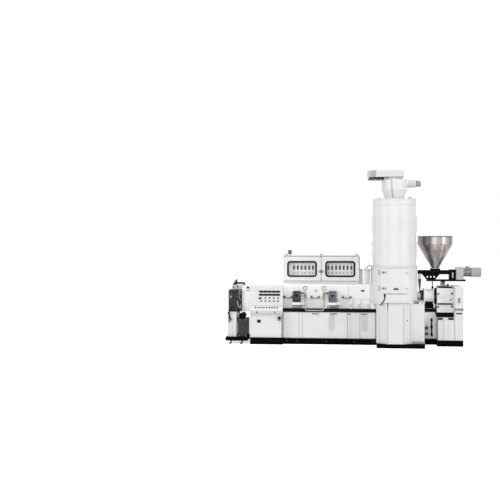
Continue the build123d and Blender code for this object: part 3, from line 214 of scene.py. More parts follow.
def worn_edges(tree, color, soft, noise, bare):
    """Lets a lighter tone show in patches on the edges."""
    geometry = add_node(tree, "ShaderNodeNewGeometry")
    normals = {0: soft, 1: geometry.outputs["Normal"]}
    turn = add_node(tree, "ShaderNodeVectorMath", normals, operation="DOT_PRODUCT")
    edge = vary(tree, turn.outputs["Value"], EDGE_WEAR, 0.0, *EDGE_RANGE)
    patchy = add_node(tree, "ShaderNodeMath", {0: edge, 1: noise}, operation="MULTIPLY")
    return mix_colors(tree, patchy.outputs["Value"], color, (*bare, 1.0))


def painted(name, low, high, roughness=0.4, grain=0.00008, scale=2.2, coat=0.0, metallic=0.0,
            specular=0.5, edge=0.004, darkest=0.55, bare=None):
    """Powder coat or enamel: faint tone changes, shaded corners, soft edges and fine grain."""
    material, tree, shader = new_material(name)
    vector = object_coordinates(tree)
    noise, tone = mottle(tree, vector, scale, low, high)
    soft = soft_edges(tree, edge)
    color = shaded_corners(tree, tone, COAT_SHADE, darkest)
    if bare:
        color = worn_edges(tree, color, soft, noise, bare)
    rough = vary(tree, noise, roughness - COAT_SPREAD, roughness + COAT_SPREAD)
    skin = add_node(tree, "ShaderNodeTexNoise", {"Vector": vector, "Scale": GRAIN_SCALE, "Detail": 2.0})
    relief = {"Height": skin.outputs["Fac"], "Distance": grain, "Strength": GRAIN_STRENGTH, "Normal": soft}
    bump = add_node(tree, "ShaderNodeBump", relief)
    fill(tree, shader, {"Base Color": color, "Roughness": rough, "Normal": bump.outputs["Normal"],
                        "Coat Weight": coat, "Metallic": metallic, "Specular IOR Level": specular})
    return material


def brushed(name, low, high, roughness, stretch, scale=12.0):
    """Metal with drawn lines across the stretched axes."""
    material, tree, shader = new_material(name)
    vector = object_coordinates(tree, stretch)
    noise, tone = mottle(tree, vector, scale, low, high, 4.0)
    color = shaded_corners(tree, tone, METAL_SHADE, METAL_DARKEST)
    rough = vary(tree, noise, roughness - METAL_SPREAD, roughness + METAL_SPREAD)
    soft = soft_edges(tree, METAL_EDGE)
    relief = {"Height": noise, "Distance": METAL_GRAIN, "Strength": METAL_STRENGTH, "Normal": soft}
    normal = add_node(tree, "ShaderNodeBump", relief).outputs["Normal"]
    fill(tree, shader, {"Base Color": color, "Roughness": rough, "Normal": normal, "Metallic": 1.0})
    return material


def window_glass(name):
    """Clear flat glass with faint haze."""
    material, tree, shader = new_material(name)
    vector = object_coordinates(tree)
    noise = add_node(tree, "ShaderNodeTexNoise", {"Vector": vector, "Scale": 8.0, "Detail": 2.0})
    haze = vary(tree, noise.outputs["Fac"], 0.02, 0.07)
    fill(tree, shader, {"Base Color": (0.95, 0.97, 0.98, 1.0), "Roughness": haze, "Alpha": 0.05,
                        "Specular IOR Level": 0.3})
    return material


WHITE = painted("white_coat", (0.70, 0.705, 0.72), (0.74, 0.745, 0.76), roughness=0.36, darkest=0.75)
# Painted light: the panel inside the cabinet is whiter than its paint, to lift the shade of its recess
# behind the glass.
PANEL_PAINTED_LIGHT = painted("inner_panel_painted_light", (0.92, 0.92, 0.92), (0.95, 0.95, 0.95), roughness=0.5, darkest=0.9)
# Painted shade: the desk's front lip is painted greyer for the shade it stands in.
LIP = painted("desk_lip_painted_shade", (0.56, 0.55, 0.59), (0.60, 0.59, 0.63), roughness=0.36, darkest=0.8)
GREY = painted("grey_coat", (0.30, 0.305, 0.315), (0.36, 0.365, 0.375))
PALE = painted("pale_grey_coat", (0.52, 0.53, 0.54), (0.58, 0.59, 0.60))
CASTING = painted("cast_grey", (0.48, 0.48, 0.485), (0.58, 0.58, 0.585), roughness=0.42, grain=0.0003,
                  scale=14.0)
MOTOR = painted("motor_grey", (0.20, 0.19, 0.18), (0.27, 0.26, 0.25), roughness=0.42, grain=0.0003)
POT = painted("pot_coat", (0.80, 0.815, 0.835), (0.85, 0.865, 0.885), roughness=0.3, darkest=0.85)
BLACK = painted("black_coat", (0.0045, 0.0045, 0.005), (0.006, 0.006, 0.007), roughness=0.5, specular=0.03,
                bare=(0.05, 0.05, 0.05))
PLINTH = painted("plinth_coat", (0.0015, 0.0015, 0.002), (0.004, 0.004, 0.0045), roughness=0.55,
                 specular=0.015, bare=(0.04, 0.04, 0.04))
DARK = painted("dark_steel", (0.013, 0.012, 0.014), (0.030, 0.028, 0.031), roughness=0.45, metallic=0.3,
               specular=0.3, grain=0.0004, scale=9.0, bare=(0.16, 0.155, 0.15))
BLUED = painted("blued_steel", (0.063, 0.061, 0.079), (0.104, 0.102, 0.124), metallic=0.3,
                scale=6.0, grain=0.0003, bare=(0.3, 0.29, 0.27))
RUBBER = painted("black_rubber", (0.003, 0.003, 0.003), (0.006, 0.006, 0.006), roughness=0.65,
                 specular=0.08, grain=0.0004)
PLASTIC = painted("black_plastic", (0.004, 0.004, 0.0045), (0.008, 0.008, 0.009), roughness=0.5,
                  specular=0.1, grain=0.00015)
RUST_RED = painted("red_brown_enamel", (0.075, 0.022, 0.028), (0.12, 0.04, 0.045))
BRASS = brushed("brass", (0.30, 0.22, 0.10), (0.46, 0.36, 0.20), 0.36, (1.0, 1.0, 3.0))
CONE_STEEL = painted("cone_grey", (0.09, 0.088, 0.086), (0.15, 0.147, 0.144), metallic=0.4)
TANK = painted("tank_coat", (0.022, 0.021, 0.023), (0.038, 0.037, 0.039), roughness=0.45, specular=0.25,
               bare=(0.12, 0.12, 0.12))
COWL = painted("cowl_grey", (0.30, 0.29, 0.27), (0.38, 0.37, 0.345), roughness=0.3)
DOOR_WHITE = painted("door_coat", (0.72, 0.725, 0.74), (0.76, 0.765, 0.78), roughness=0.36, darkest=0.8)
# Painted light in part: a whiter enamel than the white coat, which also lifts parts that stand in shade,
# such as the gearbox and the service panel in the tower's shade.
ENAMEL_AND_LIGHT = painted("enamel_and_painted_light", (0.89, 0.895, 0.905), (0.93, 0.935, 0.945), roughness=0.36, darkest=0.9)
# Painted shade: a greyer white for the duct, so that its faces lit from above show no brighter than the
# rest.
DUCT_PAINTED_SHADE = painted("duct_painted_shade", (0.60, 0.605, 0.615), (0.65, 0.655, 0.665), darkest=0.75)
PIPE = brushed("pipe_steel", (0.30, 0.295, 0.29), (0.42, 0.415, 0.41), 0.36, (1.0, 1.0, 6.0))
STEEL = brushed("bolt_steel", (0.20, 0.195, 0.19), (0.34, 0.33, 0.32), 0.38, (1.0, 1.0, 1.0), scale=40.0)
STAINLESS = brushed("stainless", (0.18, 0.165, 0.16), (0.42, 0.385, 0.376), 0.36, (1.0, 1.0, 0.06))
DIAL = painted("dial_white", (0.82, 0.82, 0.80), (0.86, 0.86, 0.84), roughness=0.3, darkest=0.8)
RED = painted("red_lens", (0.10, 0.002, 0.009), (0.16, 0.005, 0.015), roughness=0.12, coat=1.0, edge=0.002)
SCREEN = painted("display_glass", (0.006, 0.003, 0.003), (0.012, 0.005, 0.005), roughness=0.14, grain=0.0,
                 specular=0.12)
LAMP_GREEN = painted("indicator_green", (0.03, 0.32, 0.10), (0.05, 0.42, 0.14), roughness=0.25, coat=0.6)
LABEL = painted("bare_label", (0.72, 0.52, 0.40), (0.80, 0.60, 0.48), roughness=0.5, grain=0.0)
GLASS = window_glass("clear_glass")

# The record's slots: the material of their nodes, then more materials listed with each slot
SLOT_MATERIALS = {
    "white_paint": (WHITE, ENAMEL_AND_LIGHT, PALE),
    "grey_paint": (GREY, CASTING, DIAL, LABEL),
    "pot_paint": (POT,),
    "black_paint": (BLACK,),
    "dark_steel": (DARK, BLUED, MOTOR, CONE_STEEL),
    "pipe_steel": (PIPE, STEEL, BRASS),
    "stainless": (STAINLESS,),
    "window_glass": (GLASS,),
    "black_plastic": (PLASTIC, RUBBER, SCREEN, LAMP_GREEN),
    "red_lens": (RED, RUST_RED),
}

# Ends of a span that stays open
LOW = -math.inf
HIGH = math.inf
ANYWHERE = (LOW, HIGH)

# Nodes that take another finish than their slot's, some of them a lighter or darker copy that paints light
# or shade
NODE_MATERIALS = {
    "base_frame": PLINTH,
    "stand_plate": PLINTH,
    "controller_panel": PANEL_PAINTED_LIGHT,
    "feeder_drive": CASTING,
    "changer_terminals": PALE,
    "water_valves": PLASTIC,
    "gearbox": ENAMEL_AND_LIGHT,
    "feed_housing": ENAMEL_AND_LIGHT,
    "barrel_hood": ENAMEL_AND_LIGHT,
    "die_hood": ENAMEL_AND_LIGHT,
    "cabinet_shell": DOOR_WHITE,
    "cabinet_door_left": DOOR_WHITE,
    "cabinet_door_right": DOOR_WHITE,
    "exhaust_duct": DUCT_PAINTED_SHADE,
}


# Finishes of the frame's nodes

def dress_nodes():
    """Gives each piece of the frame its material."""
    for row in frame["record"]["subparts"]:
        mesh = NODES[row["node"]].data
        mesh.materials.clear()
        mesh.materials.append(NODE_MATERIALS.get(row["node"], SLOT_MATERIALS[row["material_slot"]][0]))


def paint(node, material, x=ANYWHERE, y=ANYWHERE, z=ANYWHERE, test=None):
    """Gives another finish to faces whose middles lie in three spans and pass a test."""
    mesh = NODES[node].data
    mesh.materials.append(material)
    index = len(mesh.materials) - 1
    for face in mesh.polygons:
        spot = face.center / MM
        inside = all(low < value < high for value, (low, high) in zip(spot, (x, y, z)))
        if inside and (test is None or test(spot, face.normal)):
            face.material_index = index


def near(middles, reach):
    """A test for faces that lie within reach of one of several stations along the part."""
    return lambda spot, normal: min(abs(spot.x - middle) for middle in middles) < reach


def outside_drum(radius):
    """A test for faces that stand out from the drum's wall."""
    return lambda spot, normal: math.hypot(spot.x - DRUM[0], spot.y - DRUM[1]) > radius


def paint_nodes():
    """Second finishes of two-tone nodes, such as gaskets, gauges, covers and motors, and painted shade on
    the desk's lip and the duct's rounded end.
    """
    for side in ("left", "right"):
        paint("cabinet_door_" + side, RUBBER, y=(LOW, DOOR_FRONT - 1))
    paint("controller_panel", PLASTIC, y=(LOW, PANEL_FACE - 1))
    paint("cabinet_shell", GREY, z=(1997, HIGH))
    paint("alarm_beacon", PALE, z=(LOW, 2031))
    paint("vent_ports", BLUED, x=(-900, HIGH))
    paint("vacuum_line", BRASS, z=(1026, GAUGE_FOOT_Z), test=near(VALVE_X, 23))
    paint("vacuum_line", DIAL, y=(LOW, GAUGE_FRONT + 1), z=(GAUGE_FOOT_Z, HIGH))
    paint("vacuum_line", PLASTIC, y=(GAUGE_FRONT + 1, HIGH), z=(GAUGE_FOOT_Z, HIGH))
    paint("vacuum_pot", WHITE, z=(1649, HIGH))
    paint("hood_handles", MOTOR, y=(LOW, HANDLE_FRONT - 5), test=near(HANDLE_X, 50))
    # The lip's greyer paint is painted shade.
    paint("console_body", LIP, y=(LOW, LIP_FRONT + 5), test=lambda spot, normal: normal.y < -0.5)
    paint("console_door", PLASTIC, y=(LOW, CONSOLE_DOOR_Y - 1))
    paint("console_door", CONE_STEEL, y=(LOW, CONSOLE_DOOR_Y - 1), z=(LOW, 588))
    paint("screen_changer", BLACK, test=lambda spot, normal: normal.x > 0.9)
    paint("changer_terminals", PLASTIC, y=(LOW, LUG_FRONT), z=(1318, HIGH))
    paint("changer_terminals", DARK, y=(LUG_FRONT, HIGH), z=(1317, HIGH))
    paint("oil_tank", TANK, z=(LOW, 558))
    paint("drum_lower", PLASTIC, z=(LOW, 1190), test=outside_drum(DRUM_RADIUS + 0.6))
    paint("drum_lower", PALE, z=(1190, HIGH), test=outside_drum(DRUM_RADIUS + 0.6))
    paint("drum_hatch", PLASTIC, x=(800, 940), y=(LOW, -1140))
    paint("drum_hatch", PALE, x=(LOW, 690), test=outside_drum(514))
    paint("drum_roof", STEEL, x=(LOW, DRUM[0]), z=(3235, HIGH))
    paint("drum_roof", PLASTIC, x=(DRUM[0], HIGH), z=(3235, HIGH))
    paint("cyclone", PALE, x=(1150, HIGH))
    paint("cyclone", MOTOR, x=(1325, HIGH))
    # Painted shade: the duct's faces that turn to the left, on its rounded end, are painted greyer, and
    # darkest where they still face partly to the front.
    paint("exhaust_duct", PALE, z=(DUCT_MOUTH_Z, HIGH), test=lambda spot, normal: normal.x < -0.65)
    paint("exhaust_duct", GREY, z=(DUCT_MOUTH_Z, HIGH),
          test=lambda spot, normal: -0.65 < normal.x < -0.05 and normal.y < 0)
    paint("exhaust_duct", DARK, z=(LOW, DUCT_MOUTH_Z))
    paint("feed_housing", DARK, x=(1762, HIGH))
    paint("extruder_barrel", WHITE, x=(LOW, 1400))
    paint("gearbox", BLACK, test=lambda spot, normal: spot.z > 1281 or 904 < spot.z < 926 and spot.y < -301)
    paint("drive_base", BLACK, z=(633, 735))
    paint("drive_column", PLASTIC, y=(LOW, DRIVE_FRONT - 1))
    paint("water_valves", RUST_RED, x=(LOW, 1640))
    paint("feeder_frame", PALE, x=(LEG_X - 70, LEG_X + 70), z=(1301, 1400))
    paint("feeder_drive", BLACK, x=(LOW, 2252))
    paint("feeder_drive", GREY, x=(2412, 2588))
    paint("feeder_drive", COWL, x=(2588, HIGH))
    paint("feeder_spout", WHITE, z=(1463, HIGH))
    paint("feeder_spout", CONE_STEEL, z=(LOW, 1431))


# Mesh helpers

def add_object(name, data):
    """Puts an object with its data into the scene."""
    thing = bpy.data.objects.new(name, data)
    bpy.context.scene.collection.objects.link(thing)
    return thing


def facing(place, axis):
    """The matrix that puts something upright at a place, with its top towards an axis."""
    turn = Vector((0, 0, 1)).rotation_difference(Vector(axis).normalized())
    return Matrix.Translation(place) @ turn.to_matrix().to_4x4()


def turned(x, z, degrees):
    """The matrix that turns something about a line from front to back."""
    return Matrix.Translation((x, 0, z)) @ Matrix.Rotation(math.radians(degrees), 4, "Y")


def round_turn(count):
    """The angles of a full turn in equal steps."""
    return [2 * math.pi * step / count for step in range(count)]


def join_rings(mesh, pairs):
    """Faces between rings that have as many points each."""
    for low, high in pairs:
        for step in range(len(low)):
            after = (step + 1) % len(low)
            mesh.faces.new((low[step], low[after], high[after], high[step]))


def lathe(mesh, profile, place, axis, steps):
    """Turns (radius, height) points about an axis through a place. A radius of 0 closes the end."""
    matrix = facing(place, axis)
    rings = []
    for radius, height in profile:
        turns = round_turn(steps if radius else 1)
        points = [Vector((radius * math.cos(a), radius * math.sin(a), height)) for a in turns]
        rings.append([mesh.verts.new(matrix @ point) for point in points])
    for low, high in zip(rings, rings[1:]):
        for step in range(steps):
            near_side = (low[step % len(low)], low[(step + 1) % len(low)])
            far_side = (high[(step + 1) % len(high)], high[step % len(high)])
            corners = list(dict.fromkeys(near_side + far_side))
            if len(corners) > 2:
                mesh.faces.new(corners)


def slab(mesh, low, high, bevel, turn=None):
    """A block between two corners, its edges bevelled. A matrix may turn it in place."""
    cube = bmesh.ops.create_cube(mesh, size=1.0)["verts"]
    for vert in cube:
        vert.co = Vector([(a + b) / 2 + part * (b - a) for a, b, part in zip(low, high, vert.co)])
        if turn:
            vert.co = turn @ vert.co
    edges = list({edge for vert in cube for edge in vert.link_edges})
    bmesh.ops.bevel(mesh, geom=edges, offset=bevel, segments=2, profile=0.5, affect="EDGES")


def bolt(mesh, place, axis, radius):
    """A hexagon head on its washer."""
    washer = 0.22 * radius
    top = 0.95 * radius
    lathe(mesh, [(0, 0), (1.3 * radius, 0), (1.3 * radius, washer), (0, washer)], place, axis, 16)
    head = [(0, washer), (radius, washer), (radius, top * 0.85), (0.85 * radius, top), (0, top)]
    lathe(mesh, head, place, axis, 6)


def screw(mesh, place, axis, radius):
    """A low round head with its socket."""
    rise = 0.55 * radius
    socket = 0.45 * radius
    floor = rise * 0.4
    head = [(0, 0), (radius, 0), (radius, rise * 0.7), (0.8 * radius, rise), (socket, rise), (socket, floor)]
    lathe(mesh, head + [(0, floor)], place, axis, 14)


def ring_of(mesh, place, axis, circle, count, radius, start):
    """Repeats a bolt round a circle about an axis."""
    matrix = facing(place, axis)
    for a in [start + turn for turn in round_turn(count)]:
        spot = matrix @ Vector((circle * math.cos(a), circle * math.sin(a), 0))
        bolt(mesh, spot, axis, radius)


def tube(mesh, points, radius, sides=10, spans=8):
    """A round pipe along a smooth line through some points."""
    points = [Vector(point) for point in points]
    padded = [2 * points[0] - points[1], *points, 2 * points[-1] - points[-2]]
    line = []
    for p0, p1, p2, p3 in zip(padded, padded[1:], padded[2:], padded[3:]):
        for step in range(spans):
            t = step / spans
            bend = 2 * p1 + (p2 - p0) * t + (2 * p0 - 5 * p1 + 4 * p2 - p3) * t ** 2
            line.append((bend + (3 * p1 - p0 - 3 * p2 + p3) * t ** 3) / 2)
    line.append(points[-1])
    side = (line[1] - line[0]).orthogonal().normalized()
    rings = []
    for step, point in enumerate(line):
        ahead = line[min(step + 1, len(line) - 1)] - line[max(step - 1, 0)]
        ahead.normalize()
        side = (side - ahead * side.dot(ahead)).normalized()
        across = ahead.cross(side)
        spots = [point + (side * math.cos(a) + across * math.sin(a)) * radius for a in round_turn(sides)]
        rings.append([mesh.verts.new(spot) for spot in spots])
    join_rings(mesh, zip(rings, rings[1:]))
    mesh.faces.new(rings[0])
    mesh.faces.new(rings[-1])


def flat_plate(mesh, points, y0, y1):
    """A flat outline that faces the front, with a thickness."""
    front = [mesh.verts.new((x, y0, z)) for x, z in points]
    back = [mesh.verts.new((x, y1, z)) for x, z in points]
    mesh.faces.new(front)
    mesh.faces.new(back[::-1])
    join_rings(mesh, [(front, back)])


def bead(mesh, x0, x1, z0, z1, y, corner, radius):
    """A round rubber bead along a rectangle with round corners that faces the front."""
    centres = [(x1 - corner, z1 - corner, 0), (x0 + corner, z1 - corner, 90),
               (x0 + corner, z0 + corner, 180), (x1 - corner, z0 + corner, 270)]
    toward = Vector((0, -1, 0))
    rings = []
    for cx, cz, start in centres:
        for step in range(CORNER_STEPS + 1):
            a = math.radians(start + 90 * step / CORNER_STEPS)
            out = Vector((math.cos(a), 0, math.sin(a)))
            spot = Vector((cx, y, cz)) + out * corner
            sides = [out * math.cos(t) + toward * math.sin(t) for t in round_turn(BEAD_SIDES)]
            rings.append([mesh.verts.new(spot + side * radius) for side in sides])
    join_rings(mesh, zip(rings, rings[1:] + rings[:1]))


def drum_arc(mesh, inner, outer, from_deg, to_deg, z0, z1, steps):
    """A curved strip round the drum. Angles run from straight in front to the right."""
    rings = []
    for step in range(steps + 1):
        a = math.radians(from_deg + (to_deg - from_deg) * step / steps)
        ways = [(inner, z0), (outer, z0), (outer, z1), (inner, z1)]
        spots = [(DRUM[0] + r * math.sin(a), DRUM[1] - r * math.cos(a), z) for r, z in ways]
        rings.append([mesh.verts.new(spot) for spot in spots])
    join_rings(mesh, zip(rings, rings[1:]))
    mesh.faces.new(rings[0])
    mesh.faces.new(rings[-1])


def at_drum(degrees, radius, z):
    """A place round the drum and the direction that points outwards there."""
    a = math.radians(degrees)
    out = (math.sin(a), -math.cos(a), 0.0)
    return (DRUM[0] + radius * out[0], DRUM[1] + radius * out[1], z), out


# Drawing jobs: a helper and what it is given after the mesh

def build(name, material, jobs, body="machine"):
    """Makes one piece that rides on a body."""
    mesh = bmesh.new()
    for job, *values in jobs:
        job(mesh, *values)
    bmesh.ops.scale(mesh, vec=(MM, MM, MM), verts=mesh.verts)
    bmesh.ops.recalc_face_normals(mesh, faces=mesh.faces)
    for face in mesh.faces:
        face.smooth = True
    for edge in mesh.edges:
        edge.smooth = edge.calc_face_angle(math.pi) < SMOOTH_BELOW
    data = bpy.data.meshes.new(name)
    mesh.to_mesh(data)
    mesh.free()
    data.materials.append(material)
    thing = add_object(name, data)
    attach(thing, body)


def fasten(name, jobs, body="machine"):
    """Makes one piece of bright screws, bolts or clips."""
    build(name, STEEL, jobs, body)


def block(x0, x1, y0, y1, z0, z1, bevel=1.5):
    """A bevelled block, given axis by axis."""
    return (slab, (x0, y0, z0), (x1, y1, z1), bevel)


def rod(radius, height, place, axis, steps, crown=0):
    """A round bar, whose far end may rise towards its middle."""
    return (lathe, [(0, 0), (radius, 0), (radius, height), (0, height + crown)], place, axis, steps)


def hoop(inner, outer, height, place, axis, steps):
    """A flat ring."""
    profile = [(inner, 0), (outer, 0), (outer, height), (inner, height), (inner, 0)]
    return (lathe, profile, place, axis, steps)


def ridge(radius, bulge, height, place, steps):
    """A raised line round an upright wall."""
    return (lathe, [(radius, 0), (radius + bulge, height / 2), (radius, height)], place, UP, steps)


def grid(draw, xs, ys, zs, radius, axis=FRONT):
    """A bolt or a screw at each crossing of three lists."""
    return [(draw, (x, y, z), axis, radius) for x in xs for y in ys for z in zs]


def frame_of(x0, x1, z0, z1, y0, y1, width):
    """Four bars round an opening that faces the front."""
    return [
        block(x0, x1, y0, y1, z1 - width, z1),
        block(x0, x1, y0, y1, z0, z0 + width),
        block(x0, x0 + width, y0, y1, z0, z1),
        block(x1 - width, x1, y0, y1, z0, z1),
    ]


def louvres(x0, x1, y, z0, count, pitch, reach):
    """Sloping blades one above another, facing the front."""
    heights = [z0 + pitch * step for step in range(count)]
    return [block(x0, x1, y - reach, y, z, z + 0.3 * pitch, 1.0) for z in heights]


# Bench, hood and vents

PANEL_SPANS = ((-1601, -1256), (-1176, -171), (113, 446))
SCREW_INSET = 15
PANEL_GAP_X = (-168, 110)
PULL_SPANS = ((-964, -803), (-557, -400), (-167, -98), (133, 266))
PLINTH_BOLT_X = (-1540, -1290, -640, -20, 400)
HOOD_ENDS = (-1615, 345)
HOOD_SEAMS = (-1125, -635, -145)
HOOD_FOOT_X = (-1590, -1130, -640, -150, 320)
BRACKET_REACH = 88
BLOWER_X = (-330, -90, 90, 290)


def bench_details():
    """Pulls, screws and gaps of the panels, and bolts of plinth and bed."""
    pulls = []
    for x0, x1 in PULL_SPANS:
        pulls.append(block(x0, x1, BENCH_FRONT - 7, BENCH_FRONT, 672, 698, 3))
        pulls.append(block(x0 + 6, x1 - 6, BENCH_FRONT - 15, BENCH_FRONT - 4, 690, 697, 2))
    build("bench_pulls", MOTOR, pulls)
    edges = [x for x0, x1 in PANEL_SPANS for x in (x0 + SCREW_INSET, x1 - SCREW_INSET)]
    fasten("bench_screws", grid(screw, edges, [BENCH_FRONT], (165, 700), 7))
    gaps = [block(x - 5, x + 5, BENCH_FRONT - 1.5, BENCH_FRONT + 2, 150, 715, 0.6) for x in PANEL_GAP_X]
    build("bench_gaps", MOTOR, gaps)
    build("plinth_bolts", DARK, grid(bolt, PLINTH_BOLT_X, [BENCH_FRONT], [68], 13))
    build("bed_screws", DARK, grid(screw, range(-1560, 440, 245), [BED_FRONT], [765], 8))


def hood_details():
    """Screws, joint strips, lock and blower grilles of the barrel hood."""
    heads = []
    for left, right in zip((HOOD_ENDS[0], *HOOD_SEAMS), (*HOOD_SEAMS, HOOD_ENDS[1])):
        heads += grid(screw, (left + 30, (left + right) / 2, right - 30), [HOOD_FRONT], [1034], 6)
    heads += grid(screw, HOOD_FOOT_X, [HOOD_FOOT_Y], [812], 6)
    fasten("hood_screws", heads)
    bars = [block(x - 7, x + 7, HOOD_FRONT - 1.2, HOOD_FRONT + 2, 1022, 1332, 0.6) for x in HOOD_SEAMS]
    build("hood_joint_strips", WHITE, bars)
    brackets = [x + side for x in HANDLE_X for side in (-BRACKET_REACH, BRACKET_REACH)]
    fasten("handle_screws", grid(screw, brackets, [HANDLE_FRONT], (1069, 1091), 5))
    lock = [block(132, 205, -362, -348, 1191, 1219, 6), (screw, (185, -362, 1205), FRONT, 13)]
    build("hood_lock_lever", PLASTIC, lock)
    build("hood_lock_ring", GREY, [(screw, (-870, -350, 1205), FRONT, 15)])
    slots = [block(x - 26, x + 26, -326, -323, z, z + 5, 1) for x in BLOWER_X for z in range(840, 910, 14)]
    build("blower_grilles", GREY, slots)


def throat_details():
    """Stepped cover between hood and tower."""
    low = block(346, 466, THROAT_FRONT, -100, 800.5, 948, 3)
    high = block(346, 436, THROAT_TOP_FRONT, -THROAT_TOP_FRONT, 948, 1333, 3)
    build("throat_cover", ENAMEL_AND_LIGHT, [low, high])
    heads = grid(screw, (358, 454), [THROAT_FRONT], (815, 934), 6)
    heads += grid(screw, (358, 424), [THROAT_TOP_FRONT], (962, 1140, 1320), 6)
    fasten("throat_screws", heads)


def vent_details():
    """Trim of the two vent ports."""
    rim = [(26, 0), (50, 0), (50, 5), (44, 8), (32, 8), (26, 5), (26, 0)]
    for name, middle, plate in zip(("left", "right"), VENT_X, (DARK, BLUED)):
        sight = (middle, VENT_FRONT, SIGHT_Z)
        ring = [(lathe, rim, sight, FRONT, 32)]
        ring += frame_of(middle - 84, middle + 84, 955, 1189, VENT_FRONT - 5, VENT_FRONT, 12)
        build("vent_ring_" + name, plate, ring)
        sides = (middle - 76, middle + 76)
        bolts = [(ring_of, sight, FRONT, 62, 6, 7, 0.5)]
        bolts += grid(bolt, sides, [VENT_FRONT - 5], (963, 1181, 1150), 7)
        fasten("vent_bolts_" + name, bolts)
        build("vent_sight_" + name, SCREEN, [rod(25, 3, (middle, VENT_FRONT + 34, SIGHT_Z), FRONT, 28, 3)])
        build("vent_foot_" + name, ENAMEL_AND_LIGHT, [block(middle - 82, middle + 82, -478, -300, 884, 952, 3)])
        # Painted shadow: a grey plate under each tray stands for the shade beneath it.
        build("vent_tray_painted_shadow_" + name, GREY, [block(middle - 120, middle + 120, -440, -300, 838, 856, 2)])


def vacuum_details():
    """Gauges, levers, nuts and arms of the vacuum line."""
    rim = [(38, 0), (45.5, 0), (45.5, 7), (42, 9), (38, 7), (38, 0)]
    build("gauge_bezels", PLASTIC, [(lathe, rim, (x, GAUGE_FRONT, GAUGE_Z), FRONT, 36) for x in VALVE_X])
    ticks = []
    needles = []
    for x in VALVE_X:
        for step in range(11):
            start = 27 if step % 5 == 0 else 30
            turn = turned(x, GAUGE_Z, -135 + 27 * step)
            ticks.append((slab, (-1.2, GAUGE_FRONT - 1, start), (1.2, GAUGE_FRONT, 36), 0.3, turn))
        turn = turned(x, GAUGE_Z, -58)
        needles.append((slab, (-1.6, GAUGE_FRONT - 3, -10), (1.6, GAUGE_FRONT - 1.5, 29), 0.5, turn))
        needles.append((screw, (x, GAUGE_FRONT - 0.5, GAUGE_Z), FRONT, 5))
    build("gauge_ticks", PLASTIC, ticks)
    build("gauge_needles", RUST_RED, needles)
    levers = []
    for x, lean in zip(VALVE_X, (-22, 22)):
        levers.append(rod(9, 22, (x, -487, VALVE_Z), FRONT, 14))
        levers.append((slab, (-7, -512, -88), (7, -506, 8), 2, turned(x, VALVE_Z, lean)))
    build("valve_levers", RUST_RED, levers)
    build("pipe_nuts", BRASS, [rod(17, 12, (x, -475, z), UP, 6) for x in VALVE_X for z in (880, 1016, 1152)])
    arms = [rod(15, 64, (-1218, *VACUUM_ARM), RIGHT, 14), rod(15, 64, (-587, *VACUUM_ARM), LEFT, 14)]
    arms += [rod(20, 10, (x, *VACUUM_ARM), RIGHT, 6) for x in (-1218, -1154, -661, -597)]
    build("vacuum_arms", DARK, arms)


# Cabinet, controllers and vacuum pot

ZONE_X = [-1415.5 + 88 * step for step in range(6)] + [-613 + 88 * step for step in range(7)]
WINDOW_SPANS = {"left_door": (-1543.5, -901), "right_door": (-661, -18.5)}
DOOR_SPANS = {"left_door": (-1640, -800), "right_door": (-762, 78)}
POT_PIPE = ((378, 1335), (378, 1560), (378, 1700), (366, 1752), (330, 1762), (290, 1735), (280, 1690))


